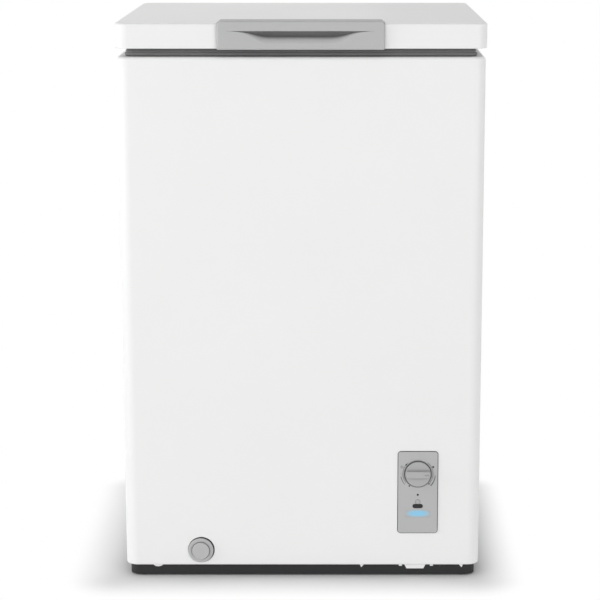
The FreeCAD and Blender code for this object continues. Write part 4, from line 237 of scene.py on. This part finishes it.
def painted_crease_shade(shader, reach, darkest, curve=1.0):
    """Painted shade: darkens the base colour by ambient occlusion in creases and joints narrower than about
    reach metres.
    """
    shut_in = shader.node("ShaderNodeAmbientOcclusion", samples=8)
    shut_in.inputs["Distance"].default_value = reach
    painted_shade = shader.ramp(shut_in.outputs["AO"], [(0.0, darkest), (curve, 1.0)])
    mixed = shader.node("ShaderNodeMix", data_type="RGBA", blend_type="MULTIPLY")
    mixed.inputs["Factor"].default_value = 1.0
    target = shader.surface.inputs["Base Color"]
    shader.link(target.links[0].from_socket, mixed.inputs[6])
    shader.link(painted_shade, mixed.inputs[7])
    shader.link(mixed.outputs[2], target)
    return shader


# ================================================================ materials
def painted_steel(name, colour, gloss=0.30, darkest=0.35):
    """Coil-coated sheet: fine orange peel, slight unevenness of gloss, and painted shade darkening its
    joints.
    """
    shader = painted_crease_shade(varied(Shader(name), colour, 0.006, 5.0), 0.012, darkest, 0.7)
    shader.roughness_from(shader.noise(9.0, 4.0), gloss - 0.03, gloss + 0.06)
    shader.bump(shader.noise(420.0, 2.0), 0.00003, 0.35)
    shader.bump(shader.noise(3.0, 1.0), 0.0006, 0.06)
    return shader.set(Specular_IOR_Level=0.28).material


def galvanised(name, colour):
    """Zinc with its crystal spangle."""
    shader = Shader(name)
    flakes = shader.cells(170.0, output="Color")
    spread = shader.node("ShaderNodeRGBToBW")
    shader.link(flakes, spread.inputs["Color"])
    stops = [(0.2, tint(colour, 0.93)), (0.8, tint(colour, 1.04))]
    shader.colour_from(shader.ramp(spread.outputs["Val"], stops))
    shader.roughness_from(spread.outputs["Val"], 0.38, 0.50)
    shader.bump(shader.noise(700.0), 0.00002, 0.3)
    return shader.set(Metallic=0.85).material


def stucco_aluminium(name, colour):
    """Embossed sheet: shallow pebbles a few millimetres across."""
    shader = varied(Shader(name), colour, 0.03, 8.0)
    shader.roughness_from(shader.noise(40.0, 3.0), 0.30, 0.44)
    shader.bump(shader.cells(230.0, "SMOOTH_F1"), 0.0006, 0.55)
    return shader.set(Metallic=0.75).material


def grained_plastic(name, colour, low=0.42, high=0.55, grain=0.00005, specular=0.4, shade_reach=0.005,
                    darkest=0.25):
    """Moulded plastic with a fine spark-eroded grain and painted shade darkening its creases."""
    shader = painted_crease_shade(varied(Shader(name), colour, 0.012, 14.0), shade_reach, darkest, 0.75)
    shader.roughness_from(shader.noise(60.0, 4.0), low, high)
    shader.bump(shader.noise(1500.0, 2.0, 0.6), grain, 0.5)
    return shader.set(Specular_IOR_Level=specular).material


def smooth_plastic(name, colour):
    """Vacuum-formed or extruded plastic: soft gloss, long faint waves."""
    shader = varied(Shader(name), colour, 0.008, 6.0)
    shader.roughness_from(shader.noise(25.0, 3.0), 0.26, 0.38)
    shader.bump(shader.noise(12.0, 2.0), 0.0004, 0.12)
    shader.bump(shader.noise(800.0), 0.00002, 0.25)
    return shader.material


def foam(name, colour):
    """Rigid closed-cell foam, cut through its cells."""
    shader = Shader(name)
    cells = shader.cells(420.0, "SMOOTH_F1")
    patches = shader.noise(12.0, 4.0)
    shader.colour_from(shader.ramp(patches, [(0.2, tint(colour, 0.88)), (0.8, tint(colour, 1.08))]))
    shader.bump(cells, 0.0008, 0.7)
    return shader.set(Roughness=0.92, Specular_IOR_Level=0.2).material


def rubber(name, colour, low=0.55, high=0.72, bloom=0.10):
    """Moulded rubber with a dusty bloom."""
    shader = varied(Shader(name), colour, bloom, 30.0, 5.0)
    shader.roughness_from(shader.noise(90.0, 4.0), low, high)
    shader.bump(shader.noise(900.0, 3.0), 0.00005, 0.4)
    return shader.set(Specular_IOR_Level=0.3).material


def drawn_metal(name, colour, low=0.22, high=0.36, stain=0.12):
    """Drawn tube or wire: patches of tarnish and fine lines."""
    shader = varied(Shader(name), colour, stain, 24.0, 5.0)
    shader.roughness_from(shader.noise(70.0, 4.0), low, high)
    shader.bump(shader.noise(500.0, 2.0, stretch=(0.1, 1.0, 1.0)), 0.00003, 0.4)
    return shader.set(Metallic=1.0).material


def machined_iron(name, colour):
    """Cast and turned iron: blotched, with a fine tooled surface."""
    shader = varied(Shader(name), colour, 0.14, 60.0, 5.0)
    shader.roughness_from(shader.noise(140.0, 4.0), 0.40, 0.62)
    shader.bump(shader.noise(320.0, 4.0), 0.0002, 0.4)
    return shader.set(Metallic=0.9).material


def circuit_board(name, colour):
    """Green solder mask with the copper's traces showing faintly through."""
    shader = Shader(name)
    traces = shader.node("ShaderNodeTexBrick")
    traces.inputs["Scale"].default_value = 160.0
    traces.inputs["Mortar Size"].default_value = 0.08
    traces.inputs["Color1"].default_value = (*colour, 1.0)
    traces.inputs["Color2"].default_value = (*tint(colour, 0.8), 1.0)
    traces.inputs["Mortar"].default_value = (*tint(colour, 2.2), 1.0)
    shader.link(shader.place, traces.inputs["Vector"])
    shader.colour_from(traces.outputs["Color"])
    shader.bump(traces.outputs["Fac"], 0.00004, 0.4)
    return shader.set(Roughness=0.35).material


def lit_lens(name, plate, colour, glow):
    """Frosted grey windows. The wide one is lit from behind in the middle, with a painted glow in its base
    colour as well, and the round one is off.
    """
    shader = Shader(name)
    low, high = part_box("indicator_lenses")
    middle = Vector(((low.x + high.x) / 2, 0, low.z + LAMP_UP))
    away = shader.vector("SUBTRACT", shader.place, middle)
    scaled = shader.vector("MULTIPLY", away, (1 / LAMP_REACH[0], 0, 1 / LAMP_REACH[1]))
    lit = shader.node("ShaderNodeMapRange", interpolation_type="SMOOTHERSTEP")
    lit.inputs["From Min"].default_value = 1.0
    lit.inputs["From Max"].default_value = 0.1
    shader.link(shader.vector("LENGTH", scaled), lit.inputs["Value"])
    # Painted glow: the base colour itself turns from the grey plate to blue where the lamp behind shines.
    shader.colour_from(shader.ramp(lit.outputs["Result"], [(0.0, plate), (0.85, colour)]))
    shader.link(shader.ramp(lit.outputs["Result"], [(0.0, 0.0), (0.3, tint(colour, 0.5)), (1.0, colour)]),
                shader.surface.inputs["Emission Color"])
    shader.roughness_from(shader.noise(60.0, 3.0), 0.34, 0.44)
    shader.bump(shader.noise(600.0), 0.00003, 0.3)
    return shader.set(Emission_Strength=glow).material


def ink(name, value):
    """Screen-printed mark, slightly uneven."""
    shader = varied(Shader(name), (value, value, value), 0.08, 300.0)
    shader.bump(shader.noise(2500.0), 0.00001, 0.3)
    return shader.set(Roughness=0.5, Specular_IOR_Level=0.3).material


GREY_PLASTIC = (0.47, 0.47, 0.472)

MAKERS = {
    "white_paint": lambda n: painted_steel(n, (0.862, 0.862, 0.860)),
    "galvanised_steel": lambda n: galvanised(n, (0.50, 0.51, 0.52)),
    "stucco_aluminium": lambda n: stucco_aluminium(n, (0.72, 0.73, 0.74)),
    "grey_plastic": lambda n: grained_plastic(n, GREY_PLASTIC),
    # The knob's painted shade reaches 12 mm and goes fully dark in its creases, beside the grip bar.
    "dial_plastic": lambda n: grained_plastic(n, (0.43, 0.43, 0.432), 0.36, 0.48, shade_reach=0.012, darkest=0.0),
    "white_plastic": lambda n: smooth_plastic(n, (0.80, 0.80, 0.79)),
    "black_plastic": lambda n: grained_plastic(n, (0.022, 0.022, 0.023), 0.5, 0.65, 0.00008, 0.3),
    "black_paint": lambda n: painted_steel(n, (0.018, 0.018, 0.018), 0.28),
    "insulation_foam": lambda n: foam(n, (0.62, 0.52, 0.27)),
    "black_rubber": lambda n: rubber(n, (0.022, 0.022, 0.022)),
    "grey_seal": lambda n: rubber(n, (0.16, 0.16, 0.163), 0.42, 0.56, 0.05),
    "magnet_strip": lambda n: rubber(n, (0.05, 0.04, 0.035)),
    "blue_lens": lambda n: lit_lens(n, (0.44, 0.445, 0.45), (0.235, 0.52, 0.72), 0.13),
    "copper_tube": lambda n: drawn_metal(n, (0.60, 0.29, 0.17)),
    "steel_tube": lambda n: drawn_metal(n, (0.32, 0.32, 0.33), 0.35, 0.5),
    "bright_steel": lambda n: drawn_metal(n, (0.58, 0.58, 0.60), 0.20, 0.34, 0.06),
    "motor_iron": lambda n: machined_iron(n, (0.20, 0.19, 0.18)),
    "circuit_board": lambda n: circuit_board(n, (0.02, 0.12, 0.05)),
    "cable_jacket": lambda n: grained_plastic(n, (0.02, 0.02, 0.021), 0.35, 0.5),
    "white_coated_wire": lambda n: smooth_plastic(n, (0.80, 0.80, 0.79)),
}


def dress_nodes():
    """Gives each CAD node its slot's material, and the handle one with wider and darker painted shade in its
    creases, under the finger scoop's ledge.

    Returns the materials by slot.
    """
    made = {slot: maker(slot) for slot, maker in MAKERS.items()}
    for row in frame["record"]["subparts"]:
        mesh = NODES[row["node"]].data
        mesh.materials.clear()
        mesh.materials.append(made[row["material_slot"]])
    handle = NODES["lid_handle"].data.materials
    # Painted shade: the scoop under the handle's ledge darkens almost to black.
    handle[0] = grained_plastic("handle_plastic", GREY_PLASTIC, shade_reach=0.024, darkest=0.02)
    return made


# ================================================================ mesh pieces
def mesh_piece(name, body, material, mesh, smooth=True):
    """A new visible piece from a bmesh, riding on a body."""
    data = bpy.data.meshes.new(name)
    bmesh.ops.recalc_face_normals(mesh, faces=mesh.faces)
    mesh.to_mesh(data)
    mesh.free()
    data.materials.append(material)
    for face in data.polygons:
        face.use_smooth = smooth
    piece = bpy.data.objects.new(name, data)
    bpy.context.scene.collection.objects.link(piece)
    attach(piece, body)
    return piece


def rounded_loop(low, high, radius, z, steps=10):
    """Points round a rectangle with rounded corners, counter-clockwise from above."""
    centres = [(high.x - radius, high.y - radius), (low.x + radius, high.y - radius),
               (low.x + radius, low.y + radius), (high.x - radius, low.y + radius)]
    points = []
    for quarter, (cx, cy) in enumerate(centres):
        for step in range(steps + 1):
            angle = math.radians(90 * (quarter + step / steps))
            points.append(Vector((cx + radius * math.cos(angle), cy + radius * math.sin(angle), z)))
    return points


def bridge(mesh, rows, wrap=True, last=None):
    """Quads from each row of vertices to the next. With wrap, the last row meets the first again."""
    count = len(rows[0])
    for row, after in zip(rows, rows[1:] + rows[:1] if wrap else rows[1:]):
        for n in range(last or count):
            mesh.faces.new((row[n], row[(n + 1) % count], after[(n + 1) % count], after[n]))


def seen_from_front(node, face):
    """The middle of a node's box on the plane y = face, and half the box's width."""
    low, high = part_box(node)
    return Vector(((low.x + high.x) / 2, face, (low.z + high.z) / 2)), (high.x - low.x) / 2


def gasket(materials):
    """The lid's seal: a soft foot over its magnet, two folds of bellows and a barbed heel."""
    low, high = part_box("lid_gasket")
    tall = high.z - low.z
    outline = [(0.02, 0.10), (0.00, 0.30), (0.06, 0.44), (0.16, 0.50), (0.10, 0.58), (0.07, 0.66),
               (0.15, 0.73), (0.20, 0.80), (0.06, 0.88), (0.06, 1.00), (0.94, 1.00), (0.94, 0.88),
               (0.80, 0.80), (0.85, 0.73), (0.93, 0.66), (0.90, 0.58), (0.84, 0.50), (0.94, 0.44),
               (1.00, 0.30), (0.98, 0.10), (0.90, 0.00), (0.60, 0.02), (0.50, 0.05), (0.40, 0.02),
               (0.10, 0.00)]
    mesh = bmesh.new()
    rings = []
    for inward, up in outline:
        inset = inward * GASKET_WIDTH
        step = Vector((inset, inset, 0))
        corner = max(GASKET_CORNER - inset, GASKET_CORNER_LEAST)
        loop = rounded_loop(low + step, high - step, corner, low.z + up * tall)
        rings.append([mesh.verts.new(point) for point in loop])
    bridge(mesh, rings)
    piece = mesh_piece("gasket_bellows", "lid", materials["grey_seal"], mesh)
    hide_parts("lid_gasket")


def disc_mark(mesh, centre, outer, inner=0.0, start=0.0, end=360.0, taper=None, steps=48):
    """A flat printed ring, disc or arc in the panel's plane, angles counter-clockwise from the right.

    With taper, the arc's outer radius goes from outer at its start to taper at its end.
    """
    closed = abs(end - start) >= 360.0
    count = steps if closed else steps + 1
    front, back = [], []
    for n in range(count):
        share = n / steps
        angle = math.radians(start + (end - start) * share)
        reach = outer if taper is None else outer + (taper - outer) * share
        for radius, row in ((reach, front), (inner, back)):
            offset = Vector((math.cos(angle), 0, math.sin(angle))) * radius
            row.append(centre + offset)
    depth = Vector((0, PRINT_DEPTH, 0))
    if inner == 0.0:
        rim = [mesh.verts.new(p) for p in front]
        foot = [mesh.verts.new(p + depth) for p in front]
        mesh.faces.new(rim)
        mesh.faces.new(foot[::-1])
        for n in range(count):
            mesh.faces.new((rim[n], foot[n], foot[(n + 1) % count], rim[(n + 1) % count]))
        return
    rows = [[mesh.verts.new(p) for p in row] for row in
            (front, back, [p + depth for p in back], [p + depth for p in front])]
    bridge(mesh, rows, last=count if closed else count - 1)
    if not closed:
        mesh.faces.new([row[0] for row in rows])
        mesh.faces.new([row[-1] for row in rows][::-1])


def panel_marks(materials):
    """The dial's scale and the small signs on the control panel, in dark and in pale ink."""
    panel_low, panel_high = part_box("control_bezel")
    face = panel_low.y - PRINT_LIFT
    dial, radius = seen_from_front("thermostat_knob", face)
    scale = radius + SCALE_GAP

    pale = bmesh.new()
    for start, end, inner, outer, taper, steps in TAPERED_ARCS:
        disc_mark(pale, dial, scale + outer, scale + inner, start, end, taper=scale + taper, steps=steps)
    for start in THIN_ARC_STARTS:
        disc_mark(pale, dial, radius + THIN_ARC[1], radius + THIN_ARC[0], start, start + THIN_ARC_SWEEP,
                  steps=32)
    disc_mark(pale, dial + Vector((RING_SIGN_AT[0], 0, RING_SIGN_AT[1])), RING_SIGN[1], RING_SIGN[0])
    lamp_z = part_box("indicator_lenses")[1].z - LAMP_RING_BELOW_LENSES_TOP
    disc_mark(pale, Vector((dial.x, face, lamp_z)), LAMP_RING[1], LAMP_RING[0])
    mesh_piece("panel_marks_pale", "cabinet", materials["pale_ink"], pale, smooth=False)

    dark = bmesh.new()
    disc_mark(dark, dial + Vector((DOT_SIGN_AT[0], 0, DOT_SIGN_AT[1])), DOT_SIGN)
    disc_mark(dark, Vector((dial.x, face, panel_high.z - LOW_DOT_BELOW_PANEL_TOP)), LOW_DOT)
    for angle, half in TICKS:
        disc_mark(dark, dial, radius + TICK[1], radius + TICK[0], angle - half, angle + half, steps=4)
    mesh_piece("panel_marks", "cabinet", materials["ink"], dark, smooth=False)


def turned_ring(name, body, material, centre, outline, steps=96):
    """A ring turned about the front-to-back axis. Its outline holds (radius, forward) pairs in metres."""
    mesh = bmesh.new()
    rows = []
    for radius, forward in outline:
        row = []
        for n in range(steps):
            angle = 2 * math.pi * n / steps
            row.append(mesh.verts.new(centre + Vector((radius * math.cos(angle), -forward,
                                                       radius * math.sin(angle)))))
        rows.append(row)
    bridge(mesh, rows)
    mesh_piece(name, body, material, mesh)


def ring_section(inner, outer, chamfer, foot, shoulder, crown):
    """Outline of a flat ring with chamfered edges: its two radii, and how far forward each level is."""
    return [(inner, foot), (inner, shoulder), (inner + chamfer, crown),
            (outer - chamfer, crown), (outer, shoulder), (outer, foot)]


def dial_shadow_ring(materials):
    """Painted shadow: a thin dark ring on the panel, close round the knob, standing for the shade in the
    groove there.
    """
    centre, radius = seen_from_front("thermostat_knob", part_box("control_bezel")[0].y)
    outline = ring_section(radius + 0.0002, radius + 0.0012, 0.0003, foot=0.0, shoulder=0.0004, crown=0.0006)
    turned_ring("dial_shadow_ring", "cabinet", materials["painted_shadow_grey"], centre, outline)


def plug_gap_shadow_ring(materials):
    """Painted shadow: a dark ring in the gap round the drain plug, standing for the shade in that gap."""
    centre, radius = seen_from_front("drain_plug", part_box("outer_shell")[0].y)
    outline = ring_section(radius + 0.0002, radius + 0.0018, 0.0005, foot=-0.0027, shoulder=-0.0012,
                           crown=-0.0009)
    turned_ring("plug_gap_shadow_ring", "cabinet", materials["black_rubber"], centre, outline)


def panel_shadow_strip(materials):
    """Painted shadow: a thin dark strip round the panel, between its edge and the cabinet's paint, standing
    for the shade at the panel's edge.
    """
    low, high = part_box("control_bezel")
    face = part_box("outer_shell")[0].y
    mesh = bmesh.new()
    rows = []
    for grow, proud in ((0.0, 0.0), (0.0, SHADOW_STRIP_PROUD), (SHADOW_STRIP_WIDTH * 0.5, SHADOW_STRIP_PROUD * SHADOW_STRIP_CROWN),
                        (SHADOW_STRIP_WIDTH, SHADOW_STRIP_PROUD), (SHADOW_STRIP_WIDTH, 0.0)):
        flat_low = Vector((low.x - grow, low.z - grow, 0))
        flat_high = Vector((high.x + grow, high.z + grow, 0))
        loop = rounded_loop(flat_low, flat_high, PANEL_CORNER + grow, 0)
        rows.append([mesh.verts.new(Vector((p.x, face - proud, p.y))) for p in loop])
    bridge(mesh, rows)
    mesh_piece("panel_shadow_strip", "cabinet", materials["painted_shadow_grey"], mesh)


def badge(materials):
    """A bare dark plate with round ends, between the small lamp and the lamp strip."""
    low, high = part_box("control_bezel")
    centre = Vector(((low.x + high.x) / 2, low.y, low.z + BADGE_UP))
    steps = 12
    mesh = bmesh.new()
    rows = []
    for inset, lift in ((0.0, 0.0), (0.0, BADGE_LIFT * BADGE_EDGE), (BADGE_CHAMFER, BADGE_LIFT)):
        reach = BADGE_RADIUS - inset
        row = []
        for side in (1, -1):
            for step in range(steps + 1):
                angle = math.radians(180 * step / steps - 90 * side)
                across = side * (BADGE_HALF - BADGE_RADIUS) + reach * math.cos(angle)
                row.append(mesh.verts.new(centre + Vector((across, -lift, reach * math.sin(angle)))))
        rows.append(row)
    bridge(mesh, rows, wrap=False)
    mesh.faces.new(rows[-1])
    mesh.faces.new(rows[0][::-1])
    mesh_piece("panel_badge", "cabinet", materials["black_plastic"], mesh, smooth=False)


# ================================================================ studio
def seen_rays(tree):
    """1 for camera, glossy and transmitted rays, and 0 for the rest."""
    rays = tree.nodes.new("ShaderNodeLightPath")
    seen = rays.outputs["Is Camera Ray"]
    for kind in ("Is Glossy Ray", "Is Transmission Ray"):
        either = tree.nodes.new("ShaderNodeMath")
        either.operation = "MAXIMUM"
        tree.links.new(seen, either.inputs[0])
        tree.links.new(rays.outputs[kind], either.inputs[1])
        seen = either.outputs[0]
    return seen


def floor():
    """Pale floor. It shows light and shadow near the object, with painted shade round what stands on it, and
    is plain white further out.
    """
    mesh = bpy.data.meshes.new("floor")
    corners = [(x * FLOOR_HALF, y * FLOOR_HALF, 0) for x, y in ((-1, -1), (1, -1), (1, 1), (-1, 1))]
    mesh.from_pydata(corners, [], [(0, 1, 2, 3)])
    ground = bpy.data.objects.new("floor", mesh)
    bpy.context.scene.collection.objects.link(ground)

    shader = Shader("floor")
    shader.set(Roughness=0.9, Specular_IOR_Level=0.0)
    shader.colour_from(shader.ramp(shader.noise(0.8, 2.0), [(0.2, FLOOR_GREYS[0]), (0.8, FLOOR_GREYS[1])]))
    # Painted shade: the floor's colour darkens round what stands on it.
    painted_crease_shade(shader, FLOOR_SHADE_REACH, FLOOR_SHADE_DARKEST, 0.9)
    white = shader.node("ShaderNodeEmission")
    lift = shader.node("ShaderNodeEmission")
    white.inputs["Strength"].default_value = 1.0
    lift.inputs["Strength"].default_value = FLOOR_LIFT

    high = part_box("outer_shell")[1]
    centred = shader.vector("SUBTRACT", shader.place, FLOOR_FADE_CENTRE)
    past = shader.vector("SUBTRACT", shader.vector("ABSOLUTE", centred), (high.x, high.y, 0.0))
    outside = shader.vector("MAXIMUM", past, (0.0, 0.0, 0.0))
    fade = shader.node("ShaderNodeMapRange", interpolation_type="SMOOTHSTEP")
    fade.inputs["From Min"].default_value = 0.0
    fade.inputs["From Max"].default_value = FLOOR_WHITE_FROM
    shader.link(shader.vector("LENGTH", outside), fade.inputs["Value"])

    lifted = shader.node("ShaderNodeAddShader")
    shader.link(shader.surface.outputs[0], lifted.inputs[0])
    shader.link(lift.outputs[0], lifted.inputs[1])
    near = shader.node("ShaderNodeMixShader")
    shader.link(fade.outputs["Result"], near.inputs["Fac"])
    shader.link(lifted.outputs[0], near.inputs[1])
    shader.link(white.outputs[0], near.inputs[2])
    final = shader.node("ShaderNodeMixShader")
    shader.link(seen_rays(shader.tree), final.inputs["Fac"])
    shader.link(shader.surface.outputs[0], final.inputs[1])
    shader.link(near.outputs[0], final.inputs[2])
    output = shader.tree.nodes["Material Output"]
    shader.link(final.outputs[0], output.inputs["Surface"])
    mesh.materials.append(shader.material)


def world():
    """White where it is seen or mirrored, and a plain even level of light elsewhere."""
    made = bpy.data.worlds.new("studio")
    bpy.context.scene.world = made
    made.use_nodes = True
    tree = made.node_tree
    level = tree.nodes["Background"]
    level.inputs["Color"].default_value = grey(1.0)
    level.inputs["Strength"].default_value = WORLD_LEVEL
    white = tree.nodes.new("ShaderNodeBackground")
    white.inputs["Strength"].default_value = 1.0
    white.inputs["Color"].default_value = grey(1.0)
    mix = tree.nodes.new("ShaderNodeMixShader")
    tree.links.new(seen_rays(tree), mix.inputs["Fac"])
    tree.links.new(level.outputs[0], mix.inputs[1])
    tree.links.new(white.outputs[0], mix.inputs[2])
    tree.links.new(mix.outputs[0], tree.nodes["World Output"].inputs["Surface"])


def softbox(name, at, towards, side, watts):
    """A square area lamp at a point, facing another."""
    data = bpy.data.lights.new(name, "AREA")
    data.shape = "SQUARE"
    data.size = side
    data.energy = watts
    lamp = bpy.data.objects.new(name, data)
    lamp.location = at
    lamp.rotation_euler = (Vector(towards) - Vector(at)).to_track_quat("-Z", "Y").to_euler()
    bpy.context.scene.collection.objects.link(lamp)


def lights():
    middle = (0.0, 0.0, 0.45)
    softbox("key", (-2.4, -3.2, 1.45), middle, side=2.6, watts=31.7)
    softbox("fill", (2.6, -3.2, 0.75), middle, side=2.2, watts=51.8)
    softbox("left", (-3.2, -0.9, 0.9), middle, side=1.8, watts=39.5)
    softbox("behind", (-0.95, 3.3, 1.3), middle, side=2.4, watts=2.6)


def camera():
    data = bpy.data.cameras.new("camera")
    data.lens = CAMERA_LENS
    data.shift_x = CAMERA_SHIFT
    data.clip_end = 4 * FLOOR_HALF
    made = bpy.data.objects.new("camera", data)
    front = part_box("outer_shell")[0].y
    made.location = (CAMERA_X, front - CAMERA_BEFORE_FRONT, CAMERA_HEIGHT)
    made.rotation_euler = (math.radians(90 - CAMERA_PITCH), 0, 0)
    bpy.context.scene.collection.objects.link(made)
    bpy.context.scene.camera = made


# ================================================================ the scene
camera()
world()
lights()
floor()
bpy.context.scene.view_settings.view_transform = "Standard"

MATERIALS = dress_nodes()
MATERIALS["ink"] = ink("ink", DARK_INK)
MATERIALS["pale_ink"] = ink("pale_ink", PALE_INK)
# Dark grey for the painted shadow strips round the panel and round the knob.
MATERIALS["painted_shadow_grey"] = rubber("painted_shadow_grey", (0.075, 0.075, 0.077), 0.5, 0.66, 0.08)
gasket(MATERIALS)
panel_shadow_strip(MATERIALS)
dial_shadow_ring(MATERIALS)
plug_gap_shadow_ring(MATERIALS)
panel_marks(MATERIALS)
badge(MATERIALS)
